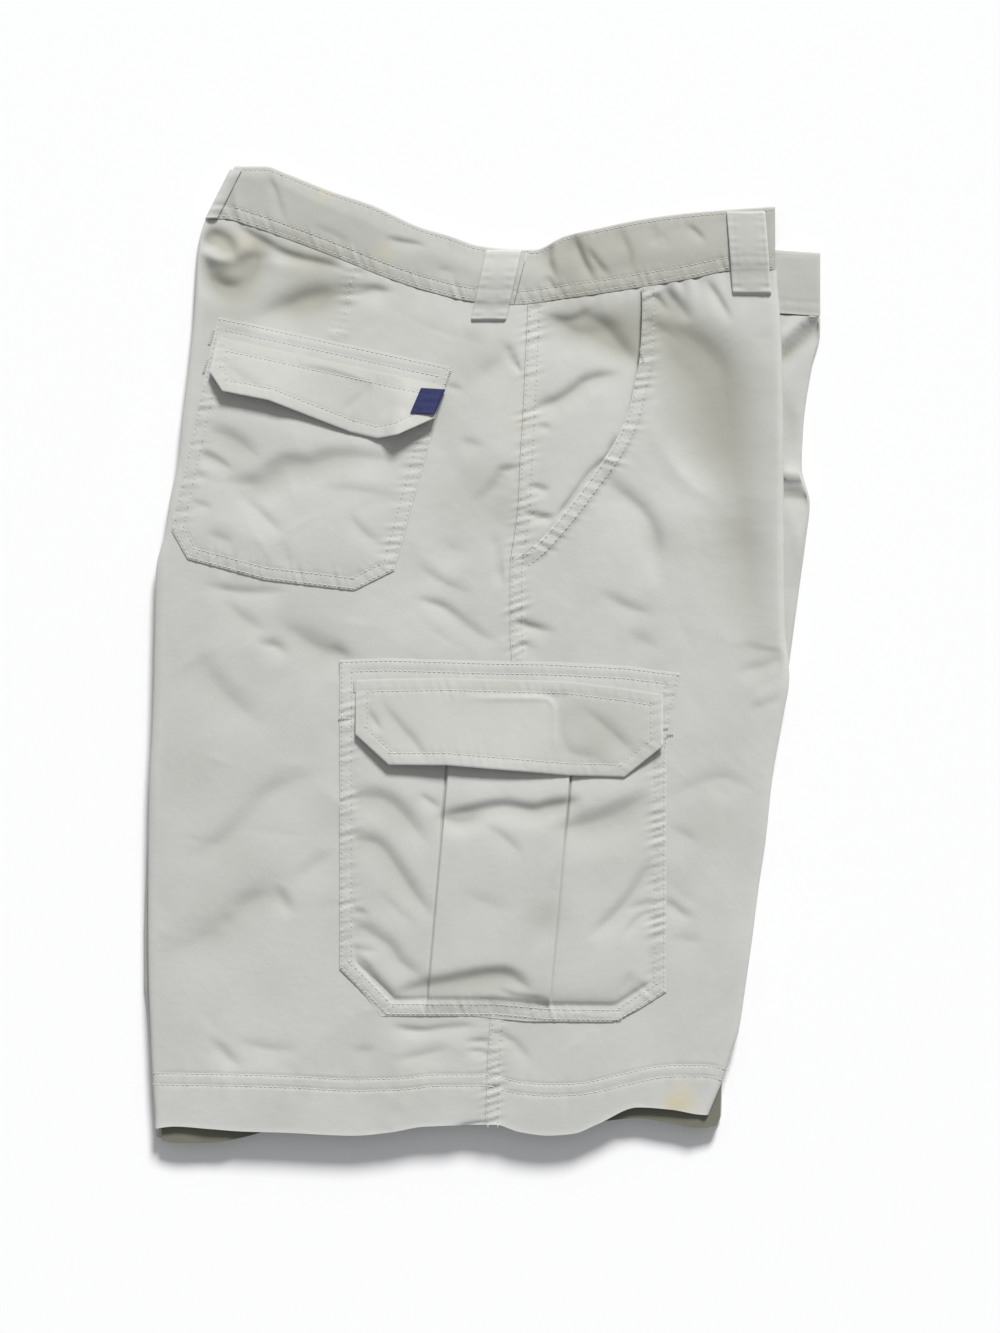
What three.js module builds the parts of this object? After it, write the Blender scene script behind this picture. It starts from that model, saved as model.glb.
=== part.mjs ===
import * as THREE from "three";

// Cargo shorts folded in half along the middle of the body and laid flat, with one leg on the other.
// The waist is at +Y, the back at -X and the front at +X, and +Z is up. Sizes are in millimetres.
// The origin is under the middle of the shorts, on the surface that they lie on.
// The front fold of the lower half sticks out past the upper half, at the right of the waist.

// Size of the folded shorts
const LENGTH = 623.4;
const WIDTH = 432;
const TOP = LENGTH / 2;
const SIDE = WIDTH / 2;

// Cloth. The turned hem starts at a share of the length of the leg.
const CLOTH = 1.2;
const HEM_EXTRA = 0.5;
const HEM_START = 0.937;
const HEM_STEP = 0.007;
const BAND_CLOTH = 2.4;
const UNDER_BAND_CLOTH = 2;
const LOOP_CLOTH = 1.4;
const TAB_CLOTH = 1;

// Clearances
const SEAM_GAP = 0.3;
const HIDDEN_SEAM_GAP = 1;
const LIE_GAP = 0.45;
const FOLD_GAP = 0.4;

// Side edges and side seam of the upper leg, down the length
const UPPER_LEG = [
  { y: 280, back: -176.5, seam: 30, front: 187.2 },
  { y: 262, back: -181.5, seam: 29.8, front: 187.4 },
  { y: 238, back: -183.2, seam: 29.2, front: 188.2 },
  { y: 216, back: -184.3, seam: 28.6, front: 190 },
  { y: 187, back: -187.2, seam: 27.2, front: 191.2 },
  { y: 151, back: -191.4, seam: 25.6, front: 191.9 },
  { y: 123, back: -194.2, seam: 23.8, front: 192 },
  { y: 98, back: -199.4, seam: 22.8, front: 192.1 },
  { y: 79, back: -202.2, seam: 20.8, front: 192.2 },
  { y: 54, back: -208, seam: 17.5, front: 192.3 },
  { y: 16, back: -209, seam: 17.5, front: 192.9 },
  { y: -15, back: -209.6, seam: 19, front: 195.7 },
  { y: -42, back: -210.4, seam: 18, front: 191.4 },
  { y: -80, back: -212.3, seam: 16, front: 184.8 },
  { y: -119, back: -213, seam: 13.5, front: 180.6 },
  { y: -150, back: -213.2, seam: 11.5, front: 176 },
  { y: -178, back: -213.2, seam: 9.5, front: 172.5 },
  { y: -210, back: -212.8, seam: 7.3, front: 168 },
  { y: -240, back: -211.6, seam: 4.5, front: 163.4 },
  { y: -256, back: -211, seam: 3.3, front: 158.2 },
  { y: -273, back: -210, seam: 2.8, front: 152.6 },
  { y: -294, back: -208.6, seam: 2, front: 144 },
];

// Side edges of the lower leg. The front edge is the fold that shows beside the upper half.
const LOWER_LEG = [
  { y: 258, back: -177, front: SIDE },
  { y: 205, back: -183, front: SIDE },
  { y: 185, back: -186, front: 211 },
  { y: 145, back: -190.5, front: 205.2 },
  { y: 120, back: -193.5, front: 204.2 },
  { y: 96, back: -198.5, front: 209.3 },
  { y: 75, back: -201.5, front: 207 },
  { y: 41, back: -207, front: 202.4 },
  { y: 5, back: -208, front: 197.6 },
  { y: -15, back: -208.5, front: 194.8 },
  { y: -42, back: -209.2, front: 189.8 },
  { y: -80, back: -211.2, front: 183.2 },
  { y: -111, back: -213.6, front: 179.5 },
  { y: -150, back: -215.4, front: 174.5 },
  { y: -178, back: -SIDE, front: 171 },
  { y: -208, back: -SIDE, front: 166.6 },
  { y: -225, back: -214.4, front: 164 },
  { y: -248, back: -212.8, front: 160 },
  { y: -272, back: -211, front: 153.5 },
  { y: -294, back: -210, front: 152.8 },
  { y: -303, back: -209.7, front: 149 },
];

// Seam under the waistband, across the upper half
const WAIST_SEAM = [
  { x: -176, y: 277.2 },
  { x: -165, y: 277.6 },
  { x: -149, y: 273.3 },
  { x: -127, y: 265.6 },
  { x: -98, y: 254.7 },
  { x: -56, y: 238.1 },
  { x: -34, y: 231 },
  { x: -6, y: 224.6 },
  { x: 20, y: 222.7 },
  { x: 53, y: 226.6 },
  { x: 80, y: 230.4 },
  { x: 134, y: 239.4 },
  { x: 158, y: 244.2 },
  { x: 187, y: 245.1 },
];

// Top edge of the waistband, across the upper half
const WAIST_TOP = [
  { x: -158.5, y: TOP },
  { x: -138.5, y: TOP },
  { x: -127, y: 307.8 },
  { x: -98, y: 296.3 },
  { x: -70, y: 286.7 },
  { x: -41, y: 273.3 },
  { x: -20, y: 266.9 },
  { x: -3, y: 261.1 },
  { x: 14, y: 259 },
  { x: 33, y: 258.4 },
  { x: 53, y: 267 },
  { x: 72, y: 271.4 },
  { x: 103, y: 277.8 },
  { x: 134, y: 281.9 },
  { x: 187, y: 285.8 },
];

// Hem of the upper leg, outside, and of the layers under it, which show past its two corners
const HEM = [
  { x: -210, outer: -302.5, inner: -309 },
  { x: -196, outer: -300.9, inner: -TOP },
  { x: -174, outer: -302.4, inner: -TOP },
  { x: -152, outer: -304, inner: -308 },
  { x: -129, outer: -304.6, inner: -302.8 },
  { x: -82, outer: -306.6, inner: -303 },
  { x: -59, outer: -304.6, inner: -302 },
  { x: -37, outer: -300.9, inner: -298.6 },
  { x: 8, outer: -299.6, inner: -297.6 },
  { x: 24, outer: -304.4, inner: -301 },
  { x: 42, outer: -306.6, inner: -303 },
  { x: 58, outer: -305.4, inner: -303 },
  { x: 73, outer: -299.5, inner: -298.6 },
  { x: 99, outer: -288.7, inner: -296 },
  { x: 120, outer: -290.2, inner: -299.4 },
  { x: 140, outer: -293.6, inner: -302.4 },
  { x: 152, outer: -294, inner: -300.5 },
];

// Curved mouth of the front pocket
const POCKET_MOUTH = [
  { y: 240, x: 101 },
  { y: 223, x: 101.8 },
  { y: 190, x: 100.3 },
  { y: 173, x: 97 },
  { y: 155, x: 93 },
  { y: 136, x: 84.8 },
  { y: 109, x: 66.2 },
  { y: 85, x: 47.7 },
  { y: 64, x: 27 },
  { y: 50, x: 0 },
];
const MOUTH_LAP = 12;
const FACING_END = 56;

// Heights of the layers, down the length from the waist seam (0) to the hem (1): the hidden layers at the
// back and front edges, the radius of the upper layer's fold, and how much it is puffed in the middle
const LAYERS = [
  { down: 0, back: 2.6, front: 5.2, fold: 1.6, crown: 1.8 },
  { down: 0.08, back: 4.5, front: 6.4, fold: 2.2, crown: 4.4 },
  { down: 0.2, back: 7.2, front: 8, fold: 2.8, crown: 6.2 },
  { down: 0.35, back: 8.6, front: 8.8, fold: 3, crown: 6.6 },
  { down: 0.6, back: 9.2, front: 9.2, fold: 3, crown: 5.6 },
  { down: 0.85, back: 9.6, front: 9.2, fold: 2.8, crown: 3.6 },
  { down: 1, back: 9.6, front: 9, fold: 2.6, crown: 2.2 },
];
const PUFF_REACH = 36;

// Top of the hidden layers: how deep it lies under the leg's surface, and how far in from the side edges,
// from the hem and from the waist seam it has risen there
const CAP_DEPTH = 5;
const CAP_SIDES = { from: 3, to: 25 };
const CAP_HEM = { from: 20, to: 46 };
const CAP_WAIST = 12;

// Distances in from a side edge over which the folds of the leg come in
const FOLDS_IN = { from: 2, to: 14 };

// Largest folds of the upper leg, from one end to the other. rise is negative for a trough.
const LEG_FOLDS = [
  { x0: -172, y0: 268, x1: -146, y1: 258, width: 9, rise: -1.6 },
  { x0: -136, y0: 224, x1: -94, y1: 238, width: 12, rise: -2 },
  { x0: -94, y0: 238, x1: -60, y1: 236, width: 12, rise: -1.6 },
  { x0: -150, y0: 0, x1: -78, y1: 14, width: 20, rise: -2 },
  { x0: -40, y0: 36, x1: 6, y1: 10, width: 12, rise: -1.8 },
  { x0: -190, y0: -187, x1: -112, y1: -145, width: 17, rise: -2.4 },
  { x0: -182, y0: -122, x1: -118, y1: -78, width: 20, rise: -1.3 },
  { x0: 131, y0: 220, x1: 156, y1: 180, width: 22, rise: -2.8 },
  { x0: 156, y0: 180, x1: 163, y1: 125, width: 20, rise: -2.6 },
  { x0: 163, y0: 125, x1: 176, y1: 40, width: 14, rise: -1.8 },
  { x0: 108, y0: 165, x1: 118, y1: 110, width: 20, rise: 1.6 },
  { x0: 84, y0: 116, x1: 110, y1: 70, width: 13, rise: -1.8 },
  { x0: 20, y0: 22, x1: 44, y1: 16, width: 9, rise: -1.6 },
  { x0: 90, y0: 34, x1: 112, y1: 25, width: 12, rise: -1.5 },
  { x0: 168, y0: -2, x1: 190, y1: -18, width: 14, rise: -2.2 },
  { x0: 0, y0: 100, x1: 14, y1: 118, width: 10, rise: -1.2 },
  { x0: 120, y0: -160, x1: 138, y1: -166, width: 12, rise: -1.4 },
];
const FACING_FOLDS = [
  { x0: 44, y0: 214, x1: 94, y1: 196, width: 24, rise: -3 },
  { x0: 36, y0: 160, x1: 80, y1: 176, width: 16, rise: -1.4 },
];

// Parts of the hidden stack from the table up. height is the share of the stack, upper says whether the
// outline is that of the lower leg (0) or of the inner layer of the upper leg (1), and the rest are insets.
const STACK = [
  { height: 0, upper: 0, side: 1.6, waist: 0.8, hem: 1.6 },
  { height: 0.05, upper: 0, side: 0.6, waist: 0.2, hem: 1 },
  { height: 0.13, upper: 0, side: 0, waist: 0, hem: 0.8 },
  { height: 0.22, upper: 0, side: 0, waist: 0, hem: 1 },
  { height: 0.28, upper: 0, side: 0.3, waist: 0.6, hem: 22 },
  { height: 0.35, upper: 0, side: 0.3, waist: 0.6, hem: 22 },
  { height: 0.41, upper: 0, side: 0, waist: 0, hem: 1.6 },
  { height: 0.54, upper: 0, side: 0.7, waist: 0, hem: 1.6 },
  { height: 0.61, upper: 0, side: 2.4, waist: 0.4, hem: 2.4 },
  { height: 0.65, upper: 1, side: 3, waist: 0.8, hem: 14 },
  { height: 0.72, upper: 1, side: 3, waist: 0.8, hem: 14 },
  { height: 0.78, upper: 1, side: 1.2, waist: 0.2, hem: 0 },
  { height: 0.9, upper: 1, side: 0.1, waist: 0, hem: 0 },
  { height: 1, upper: 1, side: 0, waist: 0, hem: 0.2 },
];
const UNDER_EDGE = 0.3;
const FRONT_FOLD_END = -15;
const FRONT_FOLD_INSET = 1;

// Waistband of the lower half lies lower than the upper one, more so towards the front
const DROP_AT_BACK = 2;
const DROP_AT_FRONT = 29.5;
const DROP_START = 40 - SIDE;
const UNDER_BAND_RETURN = 165;
const UNDER_BAND_INSET = 1.4;

// Waistband of the upper half
const BAND_FOLD = 2.6;
const BAND_STEP = 0.9;
const BAND_EDGE_AT_BACK = 5.4;
const BAND_EDGE = 3.3;
const BAND_EDGE_BLEND = { from: -180, to: -60 };
const BAND_SLOPE = 0.12;
const BACK_END = { seam: -176, top: -158.5, seamY: 277.2 };
const SIDE_JOIN = 29;
const FRONT_END = 187;

// Back pocket, in its own frame: across from its upper left corner along its top, and down
const BACK_POCKET = {
  x: -172,
  y: 216,
  tilt: THREE.MathUtils.degToRad(-12.3),
  taper: 0.945,
  columns: [
    { across: 3.5, top: 0, bottom: 139 },
    { across: 19, top: 0, bottom: 155.5 },
    { across: 73, top: 0, bottom: 158 },
    { across: 133, top: 0, bottom: 152.5 },
    { across: 155.4, top: 0, bottom: 134.7 },
  ],
};
const BACK_POCKET_WIDTH = 155.4;
const BACK_POCKET_LENGTH = 156;
const BACK_BILLOW = 1.8;
const BACK_INSET = 5;
const BACK_FLAP = [
  { across: 6.5, top: 13, bottom: 36 },
  { across: 17.5, top: 13, bottom: 46.5 },
  { across: 48, top: 13, bottom: 46 },
  { across: 104, top: 13, bottom: 54.4 },
  { across: 123, top: 13, bottom: 53 },
  { across: 134.5, top: 13, bottom: 47.7 },
  { across: 154.5, top: 13, bottom: 34.6 },
];
const TAB = { left: 139, right: 154.4, top: 17.5, bottom: 34.6 };
const BACK_FOLDS = [
  { x0: -150, y0: 112, x1: -128, y1: 126, width: 12, rise: -1.6 },
  { x0: -128, y0: 126, x1: -66, y1: 130, width: 12, rise: -1.8 },
  { x0: -146, y0: 100, x1: -126, y1: 82, width: 12, rise: -1.2 },
];

// Cargo pocket, in its own frame
const CARGO_POCKET = {
  x: -90.8,
  y: -3.8,
  tilt: 0,
  taper: 1,
  columns: [
    { across: 0, top: 0, bottom: 196.5 },
    { across: 29.6, top: -1, bottom: 226.6 },
    { across: 98.6, top: 1, bottom: 226.6 },
    { across: 132.5, top: 1.5, bottom: 229.8 },
    { across: 178, top: 4, bottom: 230.4 },
    { across: 207.8, top: 8.4, bottom: 211.2 },
  ],
};
const CARGO_WIDTH = 207.8;
const CARGO_LENGTH = 229;
const CARGO_EAR = 11;
const CARGO_EAR_DEPTH = 48;
const CARGO_BILLOW = 1.8;
const CARGO_LEAN = { from: 10, to: 199.8 };
const PLEAT = { left: 68.5, right: 146.5, lean: -0.0875, start: 22, top: 72, rise: 1.6, edge: 1.4 };
const PLEAT_CLEAR = 3.5;
const PLEAT_SOFT_EDGE = 40;
const CARGO_FLAP = [
  { across: 10.3, top: 12.8, bottom: 47.4 },
  { across: 31.4, top: 12, bottom: 66.6 },
  { across: 68.5, top: 11.4, bottom: 66.8 },
  { across: 144.7, top: 13.5, bottom: 73.3 },
  { across: 181, top: 18, bottom: 74.3 },
  { across: 205.6, top: 22, bottom: 54.4 },
];
const CARGO_FOLDS = [
  { x0: -78, y0: -90, x1: -36, y1: -108, width: 9, rise: -1.4 },
  { x0: -80, y0: -117, x1: -42, y1: -140, width: 9, rise: -1.3 },
  { x0: -80, y0: -173, x1: -48, y1: -200, width: 10, rise: -1.5 },
  { x0: -20, y0: -98, x1: 50, y1: -94, width: 10, rise: -1.8 },
  { x0: -34, y0: -208, x1: 24, y1: -204, width: 9, rise: -2 },
  { x0: 56, y0: -107, x1: 98, y1: -89, width: 9, rise: -1.5 },
  { x0: 106, y0: -134, x1: 75, y1: -174, width: 9, rise: -1.2 },
];
const FLAP_LIFT = 1.2;
const BACK_FLAP_FREE = { from: 16, to: 50 };
const CARGO_FLAP_FREE = { from: 14, to: 66 };

// Reach of the swell of a pocket in from its sides and its bottom, and from its top
const SWELL_REACH = 14;
const SWELL_TOP = 20;

// Belt loops, each from its upper end to its lower end
const SIDE_LOOP = { top: 2.6, bottom: -7.4, width: 22.4, upper: 258, lower: 212.6 };
const FRONT_LOOP = { top: 155.8, bottom: 159.6, width: 24.6, upper: 282.6, lower: 229.2 };
const LOOP_ARCH = 0.8;
const BACK_LOOP = { from: 0.04, to: 0.93, lap: 4.6, feet: [1.6, 0.4] };

// Grid of the walls
const LEG_ROWS = 34;
const BACK_COLUMNS = 15;
const FRONT_COLUMNS = 12;
const FOLD_ANGLES = [0, 32, 62, 90];
const FACING_GRID = { rows: 14, columns: 7 };
const BAND_ROWS = 6;
const UNDER_BAND_GRID = { rows: 3, bottom: 22, top: 3 };
const STACK_GRID = { rows: 28, columns: 18 };
const BACK_PATCH = { pocketRows: 13, flapRows: 4, widest: 12 };
const CARGO_PATCH = { pocketRows: 19, flapRows: 6, widest: 11 };
const LOOP_GRID = { rows: 7, columns: 3 };
const BACK_LOOP_ROWS = 5;
const TAB_GRID = 2;

// Rounds in which a point given by its shares across and down is found
const PASSES = 8;

const twill = new THREE.MeshStandardMaterial({ color: 0xc9c9c3, roughness: 0.92, metalness: 0 });
const hiddenTwill = new THREE.MeshStandardMaterial({ color: 0xb4b5aa, roughness: 0.94, metalness: 0 });
const navyTape = new THREE.MeshStandardMaterial({ color: 0x2b2d52, roughness: 0.75, metalness: 0 });

// Monotone cubic curve through two columns of a table, which never overshoots a row
function curve(rows, from, to) {
  const sorted = [...rows].sort((a, b) => a[from] - b[from]);
  const xs = sorted.map((row) => row[from]);
  const ys = sorted.map((row) => row[to]);
  const rises = xs.slice(1).map((x, i) => (ys[i + 1] - ys[i]) / (x - xs[i]));
  const slopes = xs.map((_, i) => {
    const before = rises[Math.max(i - 1, 0)];
    const after = rises[Math.min(i, rises.length - 1)];
    return before * after <= 0 ? 0 : 2 / (1 / before + 1 / after);
  });
  return (value) => {
    const x = THREE.MathUtils.clamp(value, xs[0], xs[xs.length - 1]);
    const i = Math.min(Math.max(xs.findIndex((knot) => knot > x) - 1, 0), xs.length - 2);
    const k = x >= xs[xs.length - 1] ? xs.length - 2 : i;
    const span = xs[k + 1] - xs[k];
    const t = (x - xs[k]) / span;
    const u = 1 - t;
    return (
      ys[k] * u * u * (1 + 2 * t) +
      ys[k + 1] * t * t * (3 - 2 * t) +
      span * t * u * (slopes[k] * u - slopes[k + 1] * t)
    );
  };
}

const { lerp, smoothstep, clamp, degToRad } = THREE.MathUtils;
const shares = (count) => Array.from({ length: count + 1 }, (_, i) => i / count);

const backEdge = curve(UPPER_LEG, "y", "back");
const sideSeam = curve(UPPER_LEG, "y", "seam");
const frontEdge = curve(UPPER_LEG, "y", "front");
const lowerBackEdge = curve(LOWER_LEG, "y", "back");
const lowerFrontEdge = curve(LOWER_LEG, "y", "front");
const waistSeam = curve(WAIST_SEAM, "x", "y");
const waistTop = curve(WAIST_TOP, "x", "y");
const hemOuter = curve(HEM, "x", "outer");
const hemInner = curve(HEM, "x", "inner");
const pocketMouth = curve(POCKET_MOUTH, "y", "x");
const stackAtBack = curve(LAYERS, "down", "back");
const stackAtFront = curve(LAYERS, "down", "front");
const foldRadius = curve(LAYERS, "down", "fold");
const crownHeight = curve(LAYERS, "down", "crown");

// How far down the leg a point is, from the waist seam (0) to the hem (1)
function downLeg(x, y) {
  return clamp((waistSeam(x) - y) / (waistSeam(x) - hemOuter(x)), 0, 1);
}

// Height of the hidden layers at the edges, blended from the back to the front
function stackHeight(x, y) {
  const across = clamp((x - backEdge(y)) / (frontEdge(y) - backEdge(y)), 0, 1);
  const down = downLeg(x, y);
  return lerp(stackAtBack(down), stackAtFront(down), smoothstep(across, 0, 1));
}

// Quarter-round rise of a folded edge of the given radius, at a distance in from the edge
function foldRise(distance, radius) {
  const short = radius - clamp(distance, 0, radius);
  return Math.sqrt(radius * radius - short * short);
}

function edgeDistance(x, y) {
  return Math.min(x - backEdge(y), frontEdge(y) - x);
}

function puff(distance) {
  return 1 - Math.exp(-Math.max(distance, 0) / PUFF_REACH);
}

// Outer surface of the upper leg without its creases, with the folded edge left full
function fullHeight(x, y) {
  const down = downLeg(x, y);
  const middle = puff(x - backEdge(y)) * puff(frontEdge(y) - x);
  return stackHeight(x, y) + FOLD_GAP + foldRadius(down) + crownHeight(down) * middle;
}

function smoothLegHeight(x, y) {
  const radius = foldRadius(downLeg(x, y));
  return fullHeight(x, y) - radius + foldRise(edgeDistance(x, y), radius);
}

// Sum of the folds of a table at a point. A fold is round across and fades towards its ends.
function foldsAt(folds, x, y) {
  return folds.reduce((sum, fold) => {
    const dx = fold.x1 - fold.x0;
    const dy = fold.y1 - fold.y0;
    const along = ((x - fold.x0) * dx + (y - fold.y0) * dy) / (dx * dx + dy * dy);
    const nearest = clamp(along, 0, 1);
    const off = Math.hypot(x - fold.x0 - nearest * dx, y - fold.y0 - nearest * dy) / fold.width;
    return sum + fold.rise * Math.exp(-2 * off * off);
  }, 0);
}

// A trough is held back so that it never takes more than the room under it
function softly(rise, room) {
  return rise >= 0 ? rise : -room * (1 - Math.exp(rise / Math.max(room, 0.01)));
}

// Top of the hidden layers: low at the edges, then close under the upper leg
function capHeight(x, y) {
  const stack = stackHeight(x, y);
  const rise = Math.max(fullHeight(x, y) - CAP_DEPTH - stack, 0);
  const sides = smoothstep(edgeDistance(x, y), CAP_SIDES.from, CAP_SIDES.to);
  const hem = smoothstep(y - hemInner(x), CAP_HEM.from, CAP_HEM.to);
  const waist = smoothstep(underBandSeam(x) - y, 0, CAP_WAIST);
  return stack + rise * sides * hem * waist;
}

function legHeight(x, y) {
  const smooth = smoothLegHeight(x, y);
  const room = Math.max(smooth - CLOTH - LIE_GAP - FOLD_GAP - capHeight(x, y), 0);
  const inside = smoothstep(edgeDistance(x, y), FOLDS_IN.from, FOLDS_IN.to);
  const hem = HEM_EXTRA * smoothstep(downLeg(x, y), HEM_START - HEM_STEP, HEM_START + HEM_STEP);
  return smooth + softly(foldsAt(LEG_FOLDS, x, y) * inside, room) + hem;
}

function facingHeight(x, y) {
  const smooth = legHeight(x, y) - CLOTH - LIE_GAP;
  const room = Math.max(smooth - CLOTH - LIE_GAP - capHeight(x, y), 0);
  return smooth + softly(foldsAt(FACING_FOLDS, x, y), room);
}

// The lower half's waistband is the upper one's shape, moved down
function dropAt(x) {
  const across = clamp((x - DROP_START) / (SIDE - DROP_START), 0, 1);
  return lerp(DROP_AT_BACK, DROP_AT_FRONT, across);
}

function underBandSeam(x) {
  return waistSeam(x) - dropAt(x);
}

function underBandTop(x) {
  return waistTop(x) - dropAt(x);
}

// Left end of the upper waistband, which leans
function backEnd(y) {
  const up = clamp((y - BACK_END.seamY) / (TOP - BACK_END.seamY), 0, 1);
  return lerp(BACK_END.seam, BACK_END.top, up);
}

function bandHeight(x, y) {
  const seam = waistSeam(x);
  const up = clamp((y - seam) / (waistTop(x) - seam), 0, 1);
  const atSeam = fullHeight(x, seam) + BAND_STEP;
  const { from, to } = BAND_EDGE_BLEND;
  const atEdge = lerp(BAND_EDGE_AT_BACK, BAND_EDGE, clamp((x - from) / (to - from), 0, 1));
  const held = 1 - dropAt(x) / (waistTop(x) - seam);
  const distance = Math.min(x - backEnd(y), FRONT_END - x);
  const ends = foldRise(distance, BAND_FOLD) - BAND_FOLD;
  return lerp(atSeam, atEdge, smoothstep(up, held - BAND_SLOPE, 1)) + ends;
}

// Distance across and down in a pocket's own frame, and back
function toPocket(pocket, x, y) {
  const dx = x - pocket.x;
  const dy = y - pocket.y;
  const cos = Math.cos(pocket.tilt);
  const sin = Math.sin(pocket.tilt);
  return { across: dx * cos + dy * sin, down: dx * sin - dy * cos };
}

function fromPocket(pocket, across, down) {
  const cos = Math.cos(pocket.tilt);
  const sin = Math.sin(pocket.tilt);
  return {
    x: pocket.x + across * cos + down * sin,
    y: pocket.y + across * sin - down * cos,
  };
}

// Swell of a pocket that is sewn down at its edges
function swell(across, down, width, length) {
  const rise = (distance, reach) => 1 - Math.exp(-distance / reach);
  const sides = rise(across, SWELL_REACH) * rise(width - across, SWELL_REACH);
  const ends = rise(down, SWELL_TOP) * rise(length - down, SWELL_REACH);
  return Math.max(sides * ends, 0);
}

function backPocketHeight(x, y) {
  const { across, down } = toPocket(BACK_POCKET, x, y);
  const billow = BACK_BILLOW * swell(across, down, BACK_POCKET_WIDTH, BACK_POCKET_LENGTH);
  const folds = softly(foldsAt(BACK_FOLDS, x, y), billow);
  return legHeight(x, y) + LIE_GAP + CLOTH + billow + folds;
}

// The box pleat's middle stands up between two leaning edges, from just under the flap down
function pleatRise(across, down, edge) {
  const lean = PLEAT.lean * (down - PLEAT.top);
  const left = smoothstep(across, PLEAT.left + lean - edge, PLEAT.left + lean + edge);
  const right = smoothstep(across, PLEAT.right + lean - edge, PLEAT.right + lean + edge);
  return PLEAT.rise * (left - right) * smoothstep(down, PLEAT.start, PLEAT.top);
}

function cargoBillow(across, down) {
  return CARGO_BILLOW * swell(across, down, CARGO_WIDTH, CARGO_LENGTH);
}

function cargoPocketHeight(x, y) {
  const { across, down } = toPocket(CARGO_POCKET, x, y);
  const billow = cargoBillow(across, down);
  const folds = softly(foldsAt(CARGO_FOLDS, x, y), billow);
  return legHeight(x, y) + LIE_GAP + CLOTH + billow + folds + pleatRise(across, down, PLEAT.edge);
}

function backFlapHeight(x, y) {
  const { across, down } = toPocket(BACK_POCKET, x, y);
  const billow = BACK_BILLOW * swell(across, down, BACK_POCKET_WIDTH, BACK_POCKET_LENGTH);
  const lift = FLAP_LIFT * smoothstep(down, BACK_FLAP_FREE.from, BACK_FLAP_FREE.to);
  return legHeight(x, y) + 2 * (LIE_GAP + CLOTH) + billow + lift;
}

function cargoFlapHeight(x, y) {
  const { across, down } = toPocket(CARGO_POCKET, x, y);
  const under = cargoBillow(across, down) + pleatRise(across, down, PLEAT_SOFT_EDGE);
  const pleat = pleatRise(across, down, PLEAT.edge);
  const lift = FLAP_LIFT * smoothstep(down, CARGO_FLAP_FREE.from, CARGO_FLAP_FREE.to);
  const flat = legHeight(x, y) + 2 * (LIE_GAP + CLOTH) + lift;
  return flat + Math.max(under, cargoBillow(across, down) + pleat);
}

// Corners of a grid of points in order: rows down, columns across
function grid(rows, columns, place) {
  return rows.map((row) => columns.map((column) => place(row, column)));
}

// Outer grid's edge once round, starting down its first column
function rimOf(rows, columns) {
  const at = (i, j) => i * columns + j;
  const rim = [];
  for (let i = 0; i < rows - 1; i++) rim.push(at(i, 0));
  for (let j = 0; j < columns - 1; j++) rim.push(at(rows - 1, j));
  for (let i = rows - 1; i > 0; i--) rim.push(at(i, columns - 1));
  for (let j = columns - 1; j > 0; j--) rim.push(at(0, j));
  return rim;
}

function gridFaces(rows, columns, turned, index) {
  const faces = [];
  for (let i = 0; i + 1 < rows; i++) {
    for (let j = 0; j + 1 < columns; j++) {
      const a = index(i, j);
      const b = index(i + 1, j);
      const c = index(i + 1, j + 1);
      const d = index(i, j + 1);
      if (turned) faces.push(a, c, b, a, d, c);
      else faces.push(a, b, c, a, c, d);
    }
  }
  return faces;
}

function solid(name, points, faces, material) {
  const geometry = new THREE.BufferGeometry().setFromPoints(points);
  geometry.setIndex(faces);
  geometry.computeVertexNormals();
  const mesh = new THREE.Mesh(geometry, material);
  mesh.name = name;
  return mesh;
}

// Closed wall between an outer grid and an inner one
function wallBetween(name, outer, inner, material) {
  const rows = outer.length;
  const columns = outer[0].length;
  const behind = rows * columns;
  const faces = [
    ...gridFaces(rows, columns, false, (i, j) => i * columns + j),
    ...gridFaces(rows, columns, true, (i, j) => behind + i * columns + j),
  ];
  const rim = rimOf(rows, columns);
  rim.forEach((a, k) => {
    const b = rim[(k + 1) % rim.length];
    faces.push(b, a, behind + a, b, behind + a, behind + b);
  });
  return solid(name, [...outer.flat(), ...inner.flat()], faces, material);
}

// Wall of a piece that lies on another: its inner side is straight under its outer one
function layWall(name, outer, cloth, material) {
  const inner = outer.map((row) => row.map((p) => new THREE.Vector3(p.x, p.y, p.z - cloth)));
  return wallBetween(name, outer, inner, material);
}

// Wall of a piece with folded side edges: its inner side is behind the outer one, along the normal across
function foldedWall(name, outer, clothAt, material) {
  const rows = outer.length;
  const columns = outer[0].length;
  const skin = new THREE.BufferGeometry().setFromPoints(outer.flat());
  skin.setIndex(gridFaces(rows, columns, false, (i, j) => i * columns + j));
  skin.computeVertexNormals();
  const normals = skin.getAttribute("normal");
  const inner = outer.map((row, i) =>
    row.map((p, j) => {
      const k = i * columns + j;
      const normal = new THREE.Vector3(normals.getX(k), 0, normals.getZ(k)).normalize();
      return p.clone().addScaledVector(normal, -clothAt(i, j));
    }),
  );
  return wallBetween(name, outer, inner, material);
}

function legRowShares() {
  return [...shares(LEG_ROWS).map((share) => share * (HEM_START - HEM_STEP)), HEM_START + HEM_STEP, 1];
}

// Point of the leg at a share down, where edgeX gives x from y
function legPoint(down, edgeX, height) {
  let x = edgeX(0);
  let y = 0;
  for (let pass = 0; pass < PASSES; pass++) {
    y = lerp(waistSeam(x) - SEAM_GAP / 2, hemOuter(x), down);
    x = edgeX(y);
  }
  return new THREE.Vector3(x, y, height(x, y));
}

function foldOffsets(down) {
  return FOLD_ANGLES.map((angle) => foldRadius(down) * (1 - Math.cos(degToRad(angle))));
}

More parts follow.
